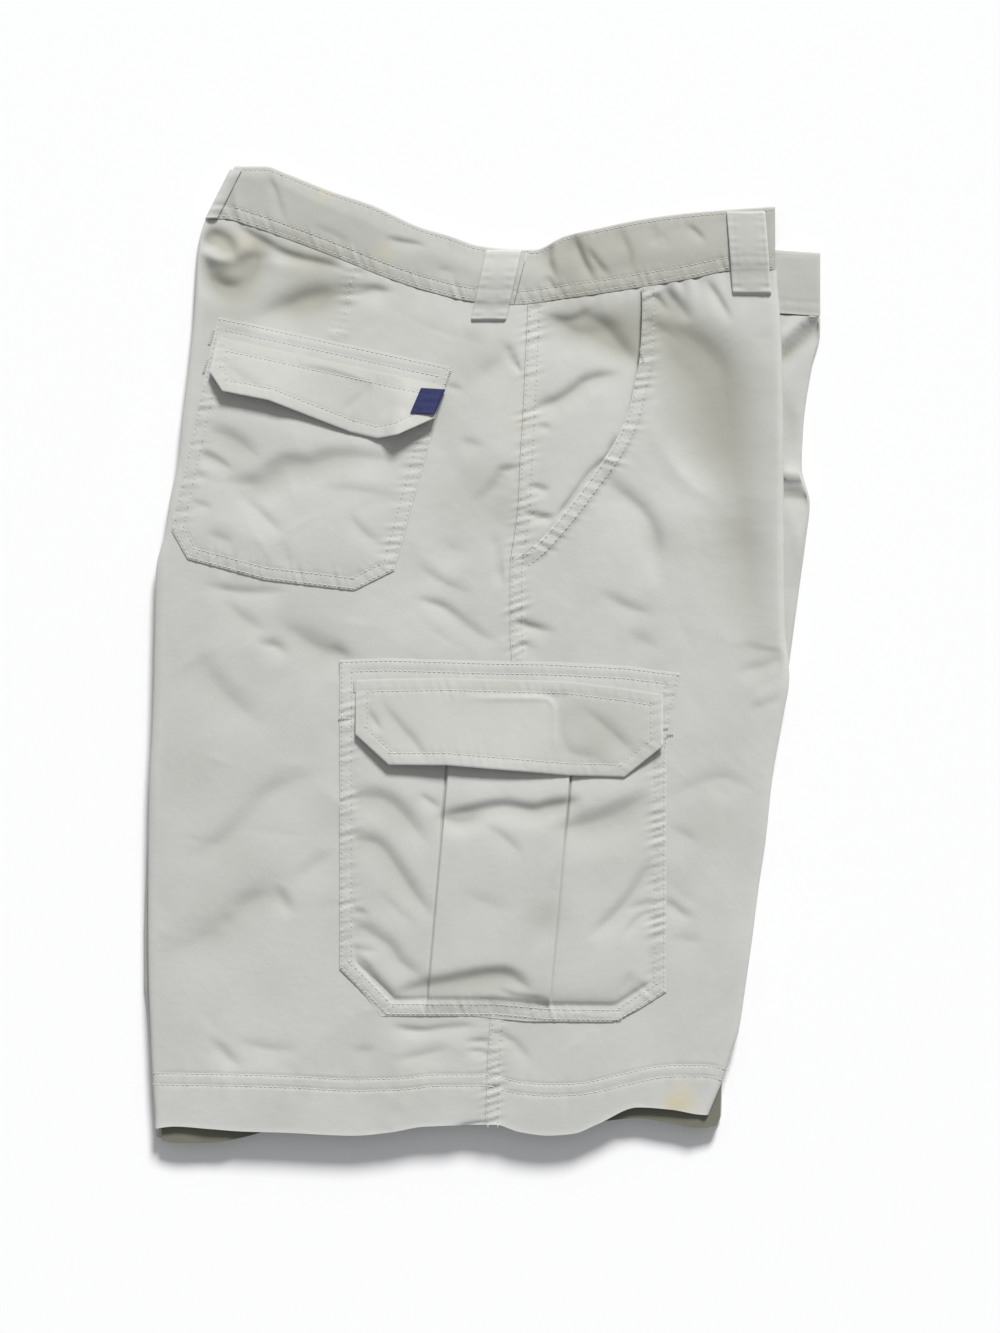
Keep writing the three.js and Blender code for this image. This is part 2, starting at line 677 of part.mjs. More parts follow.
function legCloth(rows) {
  return (i) => CLOTH + (rows[i] > HEM_START ? HEM_EXTRA : 0);
}

function backPanel() {
  const rows = legRowShares();
  const outer = rows.map((down) => {
    const offsets = foldOffsets(down);
    const full = offsets[offsets.length - 1];
    const folded = offsets.slice(0, -1).map((offset) => (y) => backEdge(y) + offset);
    const flat = shares(BACK_COLUMNS).map(
      (across) => (y) => lerp(backEdge(y) + full, sideSeam(y) - SEAM_GAP / 2, across),
    );
    return [...folded, ...flat].map((edgeX) => legPoint(down, edgeX, legHeight));
  });
  return foldedWall("back_panel", outer, legCloth(rows), twill);
}

// Left side of the front panel: the pocket mouth, then the side seam
function frontStart(y) {
  return Math.max(sideSeam(y) + SEAM_GAP / 2, pocketMouth(y));
}

function frontPanel() {
  const rows = legRowShares();
  const outer = rows.map((down) => {
    const offsets = foldOffsets(down);
    const full = offsets[offsets.length - 1];
    const folded = offsets.slice(0, -1).reverse().map((offset) => (y) => frontEdge(y) - offset);
    const flat = shares(FRONT_COLUMNS).map(
      (across) => (y) => lerp(frontStart(y), frontEdge(y) - full, across),
    );
    return [...flat, ...folded].map((edgeX) => legPoint(down, edgeX, legHeight));
  });
  return foldedWall("front_panel", outer, legCloth(rows), twill);
}

function frontPocketFacing() {
  const { rows, columns } = FACING_GRID;
  const outer = grid(shares(rows), shares(columns), (down, across) => {
    let x = sideSeam(FACING_END);
    let y = FACING_END;
    for (let pass = 0; pass < PASSES; pass++) {
      y = lerp(waistSeam(x) - SEAM_GAP / 2, FACING_END, down);
      x = lerp(sideSeam(y) + SEAM_GAP / 2, pocketMouth(y) + MOUTH_LAP, across);
    }
    return new THREE.Vector3(x, y, facingHeight(x, y));
  });
  return layWall("front_pocket_facing", outer, CLOTH, twill);
}

// One half of the upper waistband, between two places on its seam and on its top edge
function bandWall(name, from, to, columns) {
  const outer = grid(shares(BAND_ROWS), columns, (down, across) => {
    const seamX = lerp(from.seam, to.seam, across);
    const topX = lerp(from.top, to.top, across);
    const x = lerp(topX, seamX, down);
    const y = lerp(waistTop(topX), waistSeam(seamX) + SEAM_GAP / 2, down);
    return new THREE.Vector3(x, y, bandHeight(x, y));
  });
  return foldedWall(name, outer, () => BAND_CLOTH, twill);
}

function waistbandBack() {
  const join = { seam: SIDE_JOIN - SEAM_GAP / 2, top: SIDE_JOIN - SEAM_GAP / 2 };
  const width = SIDE_JOIN - BACK_END.seam;
  const folded = FOLD_ANGLES.map((angle) => 1 - Math.cos(degToRad(angle)));
  const first = folded.map((share) => (share * BAND_FOLD) / width);
  const rest = shares(BACK_COLUMNS).slice(1);
  return bandWall("waistband_back", BACK_END, join, [...first, ...rest]);
}

function waistbandFront() {
  const join = { seam: SIDE_JOIN + SEAM_GAP / 2, top: SIDE_JOIN + SEAM_GAP / 2 };
  const end = { seam: FRONT_END, top: FRONT_END };
  const width = FRONT_END - SIDE_JOIN;
  const folded = FOLD_ANGLES.map((angle) => 1 - Math.cos(degToRad(angle)));
  const last = folded.map((share) => 1 - (share * BAND_FOLD) / width).reverse();
  const rest = shares(FRONT_COLUMNS).slice(0, -1);
  return bandWall("waistband_front", join, end, [...rest, ...last]);
}

// The lower half's waistband lies on the table, turns up at the front fold and comes back on itself
function waistbandUnder() {
  const radius = UNDER_BAND_CLOTH + FOLD_GAP / 2;
  const startX = BACK_END.seam + UNDER_BAND_INSET;
  const { rows, bottom, top } = UNDER_BAND_GRID;
  const path = [
    { x: startX, z: 1.7 },
    { x: startX + 0.5, z: 0.8 },
    { x: startX + 1.7, z: 0.2 },
    { x: startX + 4, z: 0 },
    ...shares(bottom).slice(1).map((share) => ({ x: lerp(startX + 4, SIDE - radius, share), z: 0 })),
    ...[-60, -30, 0, 30, 60, 90].map((degrees) => {
      const angle = degToRad(degrees);
      return { x: SIDE - radius + radius * Math.cos(angle), z: radius + radius * Math.sin(angle) };
    }),
    ...shares(top).slice(1).map((share) => ({
      x: lerp(SIDE - radius, UNDER_BAND_RETURN, share),
      z: 2 * radius,
    })),
  ];
  const outer = grid(shares(rows), path, (up, place) => {
    const fromFront = clamp((SIDE - place.x) / (SIDE - startX), 0, 1);
    const x = place.x + (BACK_END.top - BACK_END.seam) * up * fromFront;
    const y = lerp(underBandSeam(place.x) + HIDDEN_SEAM_GAP / 2, underBandTop(x), up);
    return new THREE.Vector3(x, y, place.z);
  });
  return foldedWall("waistband_under", outer, () => UNDER_BAND_CLOTH, hiddenTwill);
}

// Outline of one level of the hidden stack, at shares across and down
function stackPoint(level, across, down) {
  const leftEdge = (y) => lerp(lowerBackEdge(y), backEdge(y) + UNDER_EDGE, level.upper) + level.side;
  const innerFront = (y) => {
    const inner = frontEdge(y) - UNDER_EDGE;
    return y > FRONT_FOLD_END ? inner : Math.max(inner, lowerFrontEdge(y) - FRONT_FOLD_INSET);
  };
  const rightEdge = (y) => lerp(lowerFrontEdge(y), innerFront(y), level.upper) - level.side;
  let x = lerp(-SIDE, SIDE, across);
  let y = 0;
  for (let pass = 0; pass < PASSES; pass++) {
    y = lerp(underBandSeam(x) - HIDDEN_SEAM_GAP / 2 - level.waist, hemInner(x) + level.hem, down);
    x = lerp(leftEdge(y), rightEdge(y), across);
  }
  return new THREE.Vector3(x, y, level.height * stackHeight(x, y));
}

function underHalf() {
  const rows = shares(STACK_GRID.rows);
  const columns = shares(STACK_GRID.columns);
  const rim = rimOf(rows.length, columns.length);
  const loops = STACK.map((level) => {
    const places = grid(rows, columns, (down, across) => ({ down, across })).flat();
    return rim.map((index) => stackPoint(level, places[index].across, places[index].down));
  });
  const count = rim.length;
  const faces = [];
  loops.slice(1).forEach((_, step) => {
    for (let k = 0; k < count; k++) {
      const a = step * count + k;
      const b = step * count + ((k + 1) % count);
      faces.push(a, b, b + count, a, b + count, a + count);
    }
  });
  const floor = loops[0].map((p) => new THREE.Vector2(p.x, p.y));
  THREE.ShapeUtils.triangulateShape(floor, []).forEach(([a, b, c]) => faces.push(a, c, b));

  // The top's edge is the last loop, and its inside follows the cap
  const last = STACK[STACK.length - 1];
  const points = loops.flat();
  const topIndex = new Map(rim.map((index, k) => [index, (loops.length - 1) * count + k]));
  const top = grid(rows, columns, (down, across) => stackPoint(last, across, down)).flat();
  top.forEach((p, index) => {
    if (topIndex.has(index)) return;
    topIndex.set(index, points.length);
    points.push(new THREE.Vector3(p.x, p.y, capHeight(p.x, p.y)));
  });
  faces.push(
    ...gridFaces(rows.length, columns.length, false, (i, j) => topIndex.get(i * columns.length + j)),
  );
  return solid("under_half", points, faces, hiddenTwill);
}

// Places across a patch: its own columns, with more between them where they are far apart
function patchColumns(columns, widest) {
  const places = columns.slice(1).flatMap((column, k) => {
    const from = columns[k].across;
    const count = Math.ceil((column.across - from) / widest);
    return shares(count).slice(0, -1).map((share) => lerp(from, column.across, share));
  });
  return [...places, columns[columns.length - 1].across];
}

// Wall of a pocket or flap that lies on the leg, from the columns of its outline
function patchWall(name, pocket, outline, rows, places, ear, heightAt, material) {
  const between = (across, key) => {
    const k = clamp(outline.findIndex((column) => column.across >= across), 1, outline.length - 1);
    const before = outline[k - 1];
    const after = outline[k];
    return lerp(before[key], after[key], (across - before.across) / (after.across - before.across));
  };
  const outer = grid(rows, places, (share, across) => {
    const down = lerp(between(across, "top"), between(across, "bottom"), share);
    const narrowed = across * lerp(1, pocket.taper, down / BACK_POCKET_LENGTH);
    const { x, y } = fromPocket(pocket, narrowed + ear(across, down), down);
    const inset = Math.max(x, backEdge(y) + BACK_INSET);
    return new THREE.Vector3(inset, y, heightAt(inset, y));
  });
  return layWall(name, outer, CLOTH, material);
}

const noEar = () => 0;

function backPocket() {
  const { columns } = BACK_POCKET;
  const places = patchColumns(columns, BACK_PATCH.widest);
  const rows = shares(BACK_PATCH.pocketRows);
  return patchWall("back_pocket", BACK_POCKET, columns, rows, places, noEar, backPocketHeight, twill);
}

function backFlap() {
  const places = patchColumns(BACK_FLAP, BACK_PATCH.widest);
  const rows = shares(BACK_PATCH.flapRows);
  return patchWall("back_flap", BACK_POCKET, BACK_FLAP, rows, places, noEar, backFlapHeight, twill);
}

// The folded tape lies on the flap's edge
function tabLabel() {
  const outer = grid(shares(TAB_GRID), shares(TAB_GRID), (down, across) => {
    const right = lerp(TAB.left, TAB.right, across);
    const { x, y } = fromPocket(BACK_POCKET, right, lerp(TAB.top, TAB.bottom, down));
    return new THREE.Vector3(x, y, backFlapHeight(x, y) + LIE_GAP + TAB_CLOTH);
  });
  return layWall("tab_label", outer, TAB_CLOTH, navyTape);
}

// The pocket's upper right corner reaches out to the flap's seam
function cargoEar(across, down) {
  const corner = Math.pow(across / CARGO_WIDTH, 6);
  return CARGO_EAR * corner * clamp(1 - down / CARGO_EAR_DEPTH, 0, 1);
}

function cargoPocket() {
  const { columns } = CARGO_POCKET;
  const edges = [PLEAT.left, PLEAT.right].flatMap((edge) => [edge - PLEAT.edge, edge + PLEAT.edge]);
  const clear = patchColumns(columns, CARGO_PATCH.widest).filter((across) =>
    edges.every((edge) => Math.abs(across - edge) > PLEAT_CLEAR),
  );
  const places = [...clear, ...edges].sort((a, b) => a - b);
  const widen = (across, down) => {
    const fromLeft = smoothstep(across, CARGO_LEAN.from, PLEAT.left);
    const fromRight = 1 - smoothstep(across, PLEAT.right, CARGO_LEAN.to);
    return cargoEar(across, down) + fromLeft * fromRight * PLEAT.lean * (down - PLEAT.top);
  };
  const rows = shares(CARGO_PATCH.pocketRows);
  return patchWall("cargo_pocket", CARGO_POCKET, columns, rows, places, widen, cargoPocketHeight, twill);
}

function cargoFlap() {
  const places = patchColumns(CARGO_FLAP, CARGO_PATCH.widest);
  const rows = shares(CARGO_PATCH.flapRows);
  return patchWall("cargo_flap", CARGO_POCKET, CARGO_FLAP, rows, places, noEar, cargoFlapHeight, twill);
}

// Strip from the waistband's top edge to just below its seam, a little arched
function beltLoop(name, loop) {
  const outer = grid(shares(LOOP_GRID.rows), shares(LOOP_GRID.columns), (down, across) => {
    const left = lerp(loop.top, loop.bottom, down);
    const x = left + across * loop.width;
    const y = lerp(loop.upper, loop.lower, down);
    const base = y > waistSeam(x) ? bandHeight(x, y) : legHeight(x, y) + BAND_STEP;
    const arch = LOOP_ARCH * Math.sin(Math.PI * down);
    return new THREE.Vector3(x, y, base + LIE_GAP + LOOP_CLOTH + arch);
  });
  return layWall(name, outer, LOOP_CLOTH, twill);
}

// The loop at the centre back goes round the folded edge and down to the lower half
function beltLoopBack() {
  const out = LIE_GAP + LOOP_CLOTH;
  const section = [
    { x: BACK_LOOP.lap, angle: 90 },
    { x: BAND_FOLD, angle: 90 },
    { x: BAND_FOLD, angle: 130 },
    { x: BAND_FOLD, angle: 165 },
  ];
  const outer = grid(shares(BACK_LOOP_ROWS), [...section, ...BACK_LOOP.feet], (down, place) => {
    const up = lerp(BACK_LOOP.to, BACK_LOOP.from, down);
    const y = lerp(BACK_END.seamY, TOP, up);
    const edge = lerp(BACK_END.seam, BACK_END.top, up);
    const centre = bandHeight(edge + BAND_FOLD, y) - BAND_FOLD;
    if (typeof place === "number") return new THREE.Vector3(edge - out, y, place);
    const angle = degToRad(place.angle);
    const reach = BAND_FOLD + out;
    return new THREE.Vector3(
      edge + place.x + reach * Math.cos(angle),
      y,
      centre + reach * Math.sin(angle),
    );
  });
  const mirrored = outer.map((row) => [...row].reverse());
  return foldedWall("belt_loop_back", mirrored, () => LOOP_CLOTH, twill);
}

const shorts = new THREE.Group();
shorts.add(
  underHalf(),
  waistbandUnder(),
  backPanel(),
  frontPanel(),
  frontPocketFacing(),
  waistbandBack(),
  waistbandFront(),
  beltLoop("belt_loop_side", SIDE_LOOP),
  beltLoop("belt_loop_front", FRONT_LOOP),
  beltLoopBack(),
  backPocket(),
  backFlap(),
  tabLabel(),
  cargoPocket(),
  cargoFlap(),
);

export default shorts;
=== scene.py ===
from collections import namedtuple

import bpy
import numpy as np
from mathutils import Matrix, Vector


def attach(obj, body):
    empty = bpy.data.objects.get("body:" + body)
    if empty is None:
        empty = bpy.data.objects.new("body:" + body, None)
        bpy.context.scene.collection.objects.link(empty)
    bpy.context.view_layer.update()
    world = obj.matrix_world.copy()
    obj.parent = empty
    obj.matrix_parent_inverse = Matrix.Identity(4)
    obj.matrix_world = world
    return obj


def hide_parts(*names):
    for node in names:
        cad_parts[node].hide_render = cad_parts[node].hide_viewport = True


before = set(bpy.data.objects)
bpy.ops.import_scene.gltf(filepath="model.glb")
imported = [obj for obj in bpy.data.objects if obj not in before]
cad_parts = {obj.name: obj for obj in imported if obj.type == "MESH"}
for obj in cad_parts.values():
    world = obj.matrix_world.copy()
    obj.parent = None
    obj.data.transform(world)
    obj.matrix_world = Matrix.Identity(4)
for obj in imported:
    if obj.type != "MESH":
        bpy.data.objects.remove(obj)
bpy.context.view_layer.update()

# Cargo shorts folded in half and laid flat. Sizes below are millimetres; meshes are written in metres.
# The waist is at +Y, the back at -X and the front at +X, and +Z is up, as in the frame.
MM = 0.001
TOP = 311.7
SIDE = 216.0

# Cloth: how thick each kind is, and the gaps between layers and at seams
CLOTH = 0.9
BAND_CLOTH = 2.2
LOOP_CLOTH = 1.5
TAB_CLOTH = 1.0
LIE_GAP = 0.45
FOLD_GAP = 0.4
LAYER_GAP = 0.4
LEAST_ROOM = 0.3
WAIST_GAP = 0.15
SEAM_GAP = 0.08
PANEL_LIFT = 1.9

# Direction of the light: turned this many degrees from the top of the picture towards its right
KEY_TURN = 12

# Stitching
STITCH_PITCH = 3.1
STITCH_LENGTH = 2.5
STITCH_WIDTH = 0.62
GROOVE = 0.2
GROOVE_WIDTH = 1.1
ROW_SPACING = 6.2
EDGE_ROW = 1.5
SECOND_ROW = EDGE_ROW + ROW_SPACING
TWO_ROWS = (EDGE_ROW, SECOND_ROW)
FLAP_ROWS = (SECOND_ROW,)
BAND_SEAM_ROWS = (2.2, 8.6)
BAND_TOP_ROW = 2.4
PUCKER_MIDDLE = 4.5
PUCKER_REACH = 5.5
THREAD_RISE = 0.12
THREAD_DIP = 0.18

# Bar tacks: x, y, angle in degrees and length of each, and the size of one of their stitches
BACK_TACKS = [(-172.5, 202, 70, 9), (-176, 184, 70, 9), (-22, 176, 70, 9)]
CARGO_TACKS = [(-87, -41, 0, 8), (117, -51, 0, 8), (-81, -21, 90, 6)]
FRONT_TACKS = [(101.5, 190, 100, 8), (29, 66, 40, 8)]
TACK_LENGTH = 2.2
TACK_WIDTH = 0.7
TACK_RISE = 0.1

# Lengths of the small waves along sewn lines
PUCKERS = (4.7, 5.6, 7.2, 10.8)
GATHERS = (9.7, 13.9, 22)
HEM_WAVES = (7.9, 12.3, 19)
INNER_HEM_WAVES = (23, 37, 61)

# Looks: how matt the cloth is, its ribs, and how deep its fine relief is in metres
CLOTH_LOOK = {"Roughness": 0.9, "Specular IOR Level": 0.2, "Sheen Weight": 0.12, "Sheen Roughness": 0.5}
RIBS = {"Scale": 48, "Distortion": 0.6, "Detail": 2, "Detail Scale": 3}
WEAVE_DEPTH = 0.00006
CRUMPLE_DEPTH = 0.0006
PUCKER_DEPTH = 0.0004
TWIST_DEPTH = 0.0001

# Studio: the photograph's middle and height on the floor in metres, its camera, its light and its fill
PHOTO_CENTRE = (0.0112, -0.008)
PHOTO_HEIGHT = 0.8531
CAMERA_DISTANCE = 2.6
SENSOR = 36.0
KEY_STRENGTH = 4.3
KEY_SIZE = 14
KEY_ELEVATION = 31
FILL_STRENGTH = 0.36


def table(names, rows):
    """Rows of numbers as named columns."""
    return dict(zip(names.split(), np.array(rows, dtype=float).T))


# Outlines of both legs, the waist, the hem and the pocket mouth, and how the layers lie down the leg
UPPER_LEG = table("y back seam front", [
    (280, -176.5, 30, 187.2), (262, -181.5, 29.8, 187.4), (238, -183.2, 29.2, 188.2),
    (216, -184.3, 28.6, 190), (187, -187.2, 27.2, 191.2), (151, -191.4, 25.6, 191.9),
    (123, -194.2, 23.8, 192), (98, -199.4, 22.8, 192.1), (79, -202.2, 20.8, 192.2),
    (54, -208, 17.5, 192.3), (16, -209, 17.5, 192.9), (-15, -209.6, 19, 195.7),
    (-42, -210.4, 18, 191.4), (-80, -212.3, 16, 184.8), (-119, -213, 13.5, 180.6),
    (-150, -213.2, 11.5, 176), (-178, -213.2, 9.5, 172.5), (-210, -212.8, 7.3, 168),
    (-240, -211.6, 4.5, 163.4), (-256, -211, 3.3, 158.2), (-273, -210, 2.8, 152.6),
    (-294, -208.6, 2, 144),
])
LOWER_LEG = table("y back front", [
    (258, -177, SIDE), (205, -183, SIDE), (185, -186, 211), (145, -190.5, 205.2),
    (120, -193.5, 204.2), (96, -198.5, 209.3), (75, -201.5, 207), (41, -207, 202.4),
    (5, -208, 197.6), (-15, -208.5, 194.8), (-42, -209.2, 189.8), (-80, -211.2, 183.2),
    (-111, -213.6, 179.5), (-150, -215.4, 174.5), (-178, -SIDE, 171), (-208, -SIDE, 166.6),
    (-225, -214.4, 164), (-248, -212.8, 160), (-272, -211, 153.5), (-294, -210, 152.8),
    (-303, -209.7, 149),
])
WAIST_SEAM = table("x y", [
    (-176, 277.2), (-165, 277.6), (-149, 273.3), (-127, 265.6), (-98, 254.7), (-56, 238.1),
    (-34, 231), (-6, 224.6), (20, 222.7), (53, 226.6), (80, 230.4), (134, 239.4),
    (158, 244.2), (187, 245.1),
])
WAIST_TOP = table("x y", [
    (-158.5, TOP), (-138.5, TOP), (-127, 307.8), (-98, 296.3), (-70, 286.7), (-41, 273.3),
    (-20, 266.9), (-3, 261.1), (14, 259), (33, 258.4), (53, 267), (72, 271.4),
    (103, 277.8), (134, 281.9), (187, 285.8),
])
HEM = table("x outer inner", [
    (-210, -302.5, -309), (-196, -300.9, -TOP), (-174, -302.4, -TOP), (-152, -304, -308),
    (-129, -304.6, -302.8), (-82, -306.6, -303), (-59, -304.6, -302), (-37, -300.9, -298.6),
    (8, -299.6, -297.6), (24, -304.4, -301), (42, -306.6, -303), (58, -305.4, -303),
    (73, -299.5, -298.6), (99, -288.7, -296), (120, -290.2, -299.4), (140, -293.6, -302.4),
    (152, -294, -300.5),
])
POCKET_MOUTH = table("y x", [
    (240, 101), (223, 101.8), (190, 100.3), (173, 97), (155, 93), (136, 84.8), (109, 66.2),
    (85, 47.7), (64, 27), (50, 0),
])
HEM_ROWS = 7.2
HEM_STITCH = table("x y", [
    (-212, -266.9), (-165, -267.5), (-120, -268.8), (-82, -270.7), (-52, -270), (-29, -267.5),
    (2, -267.5), (21, -272), (43, -273.9), (61, -273.3), (83, -268.8), (105, -263.7),
    (120, -261.8), (142, -261.8), (160, -266.2),
])
LAYERS = table("down back front fold crown", [
    (0, 2.6, 5.2, 1.6, 1.8), (0.08, 4.5, 6.4, 2.2, 4.4), (0.2, 7.2, 8, 2.8, 6.2),
    (0.35, 8.6, 8.8, 3, 6.6), (0.6, 9.2, 9.2, 3, 5.6), (0.85, 9.6, 9.2, 2.8, 3.6),
    (1, 9.6, 9, 2.6, 2.2),
])
DART = [(-80, 248), (-84, 237), (-85.5, 228), (-88.5, 214), (-93, 204)]

# Folded edges, where the facing and the seams end, and how the layers swell
FOLD_TURN = np.radians([-90, -66, -44, -22, 0, 18, 36, 54, 72])
FOLD_LAP = 7
FACING_END = 52
FACING_LAP = 9
MOUTH_END = 66
POCKET_FOOT = -228
PUFF_REACH = 36
CAP_DEPTH = 5
LOWER_SHARE = 0.62

# Lengths over which the grids are spaced, and the rounds in which places on sloping edges settle
LEG_RUN = 536
HIDDEN_RUN = 530
BACK_RUN = 205
FRONT_RUN = 165
FACING_RUN = 172
FACING_WIDTH = 88
SETTLING = 8

# Folds: the line of a fold's shaded side, how wide the fold is, and how high it rises (a trough is negative)
Fold = namedtuple("Fold", "path width rise")

# As shares of a fold's width: how much narrower its shaded side is, how far its middle lies beside its line,
# how far it wanders, how soft its bottom is at least, and how much softer it is for each millimetre of width
SHARPER = 0.4
BESIDE = 0.3
WANDER = 0.22
SOFT = 0.14
SOFTER = 0.018
LEG_FOLDS = [
    # Under the back of the waistband
    Fold([(-181, 264), (-173, 270), (-165, 268), (-160, 261), (-158, 252)], 6, -5.0),
    Fold([(-136, 262), (-120, 256), (-92, 247)], 5, -3.0),
    Fold([(-176, 252), (-170, 243), (-162, 238), (-154, 240), (-148, 248), (-145, 260)], 8, -5.0),
    Fold([(-182, 258), (-172, 252), (-163, 250), (-156, 254)], 8, 2.6),
    Fold([(-158, 247), (-151, 255), (-140, 256)], 7, -4.0),
    Fold([(-153, 272), (-143, 267), (-134, 263)], 4, -3.2),
    Fold([(-150, 252), (-110, 243), (-70, 231)], 12, 1.8),
    Fold([(-138, 219), (-127, 225), (-112, 231), (-92, 236)], 12, -7.5),
    Fold([(-132, 222), (-116, 228), (-102, 232)], 6, -2),
    Fold([(-80, 231), (-71, 235), (-61, 234)], 5, -2.8),
    # Between the back pocket and the side seam
    Fold([(-12, 206), (-2, 199)], 8, -1.0),
    Fold([(12, 193), (0, 184), (-6, 176)], 9, -1.2),
    Fold([(17, 197), (20, 190), (24, 182)], 2.6, -2.0),
    Fold([(-22, 171), (-14, 169)], 3, -1.0),
    Fold([(-12, 138), (-2, 135)], 6, -1.0),
    Fold([(0, 101), (6, 110), (12, 118), (20, 119)], 4.5, -2.2),
    Fold([(-22, 74), (-10, 66)], 10, -0.9),
    Fold([(10, 74), (11, 58), (12, 46)], 3, -1.8),
    Fold([(-36, 57), (-26, 48), (-12, 40)], 7, -1.6),
    Fold([(-36, 34), (-24, 30), (-12, 23), (4, 12)], 5.5, -1.6),
    # Below the back pocket
    Fold([(-170, 45), (-150, 42), (-130, 40)], 6, -1.3),
    Fold([(-160, 35), (-140, 20)], 10, -1.3),
    Fold([(-120, 20), (-105, 12), (-92, 6), (-80, -2)], 14, -2.2),
    Fold([(-140, 8), (-130, 8), (-124, 3)], 7, -2.0),
    Fold([(-94, 4), (-86, -1)], 6, -1.3),
    Fold([(-172, -3), (-160, -20), (-144, -38)], 13, -1.7),
    Fold([(-180, -120), (-165, -112), (-150, -100), (-140, -90), (-118, -78)], 11, -2.2),
    Fold([(-194, -181), (-176, -174), (-160, -166), (-146, -156), (-134, -146)], 16, -2.6),
    Fold([(-156, -160), (-140, -152)], 10, -1.2),
    Fold([(-129, -150), (-123, -163)], 6, -1.6),
    Fold([(-120, -141), (-100, -128)], 7, -1.0),
    Fold([(-168, -246), (-155, -259)], 6, -1.3),
    Fold([(-150, -245), (-120, -250)], 8, -0.9),
    # Below the leg pocket
    Fold([(-80, -250), (-70, -252)], 7, -0.9),
    Fold([(-52, -236), (-36, -238), (-20, -237), (-8, -236)], 4, -1.5),
    Fold([(-52, -256), (-28, -249)], 6, -0.9),
    Fold([(8, -238), (20, -246), (28, -256)], 5, -1.2),
    Fold([(-8, -246), (4, -246)], 3, -1.0),
    Fold([(-8, -252), (4, -253)], 3, -0.9),
    Fold([(-14, -299), (1, -297)], 2.5, -1.4),
    # Under the front of the waistband
    Fold([(110, 230), (115, 226), (119, 221)], 3.5, -2.4),
    Fold([(121, 232), (127, 225), (132, 217)], 6, -5.0),
    Fold([(145, 236), (151, 227), (158, 216)], 4, -2.2),
    Fold([(108, 214), (117, 209), (124, 203)], 7, -3.2),
    # The long valley down the front
    Fold([(122, 214), (134, 203), (146, 190), (153, 172), (157, 152), (164, 124)], 30, -9.5),
    Fold([(128, 208), (142, 195), (152, 182)], 10, -2.5),
    Fold([(160, 132), (165, 96), (166, 70), (174, 40)], 22, -4.5),
    Fold([(112, 134), (126, 112), (146, 92)], 12, 1.6),
    Fold([(83, 114), (90, 105), (98, 97), (105, 88), (112, 72), (114, 58)], 9, -3.6),
    Fold([(82, 39), (94, 32), (105, 27)], 7, -1.8),
    Fold([(98, 16), (110, 9)], 10, -1.0),
    Fold([(22, 20), (31, 18), (41, 16)], 4.5, -2.2),
    Fold([(24, 6), (32, 5)], 4, -1.2),
    Fold([(170, 8), (181, 4), (192, 1)], 6, -1.6),
    Fold([(166, -10), (178, -6), (192, 2)], 7, -1.6),
    Fold([(172, -32), (190, -26)], 6, -1.1),
    Fold([(120, -156), (131, -166)], 5, -1.8),
    Fold([(122, -110), (136, -116)], 7, -1.1),
    Fold([(124, -178), (138, -182)], 7, -0.9),
    Fold([(120, -86), (150, -78), (170, -84)], 10, -1.2),
]
FACING_FOLDS = [
    Fold([(42, 218), (52, 214), (60, 215), (67, 219)], 5, -3.0),
    Fold([(50, 212), (62, 206), (80, 208)], 10, -3.5),
    Fold([(73, 217), (82, 211), (87, 204), (92, 197), (98, 189)], 9, -5),
    Fold([(35, 160), (46, 164), (56, 170), (66, 176), (82, 178)], 6, -2.8),
    Fold([(36, 145), (43, 145)], 3, -1.4),
    Fold([(30, 108), (41, 106)], 3, -1.6),
    Fold([(30, 90), (44, 88)], 3, -1.8),
    Fold([(82, 136), (78, 126), (70, 118), (62, 108), (53, 97), (48, 91)], 3.5, -1.8),
]

SLIVER_FOLDS = [
    Fold([(219, 219), (209, 214), (198, 204), (184, 190)], 4, 4.0),
    Fold([(218, 212), (208, 207), (199, 199), (186, 186)], 4, -4.4),
    Fold([(184, 113), (198, 112), (212, 106)], 4.5, 4.6),
    Fold([(184, 103), (198, 103), (210, 101)], 4, -4.0),
    Fold([(196, 160), (198, 130)], 8, -1.2),
    Fold([(196, 84), (200, 50)], 8, 1.2),
]

# Waistbands
DROP_AT_BACK = 2
DROP_AT_FRONT = 29.5
UNDER_BAND_CLOTH = 2.0
UNDER_BAND_RETURN = 165
SIDE_LOOP = dict(top=(2.6, 258), bottom=(-7.4, 212.6), width=22.4)
FRONT_LOOP = dict(top=(155.8, 282.6), bottom=(159.6, 229.2), width=24.6)
LOOP_RUN = 48
BAND_RUN = 38
BAND_FOLD = 2.6
BAND_TURN = np.radians([-80, -50, -25, 0, 25, 50])
BAND_STEP = 0.8
BAND_EDGE_AT_BACK = 5.4
BAND_EDGE = 6.4
BAND_SLOPE = 0.12
BACK_END = (-176.0, -158.5, 277.2)
SIDE_JOIN = (20.0, 29.0)
SIDE_JOIN_LOW = 222.7
SIDE_JOIN_LENGTH = 35.5
JOIN_GAP = 0.15
FRONT_END = 187.0
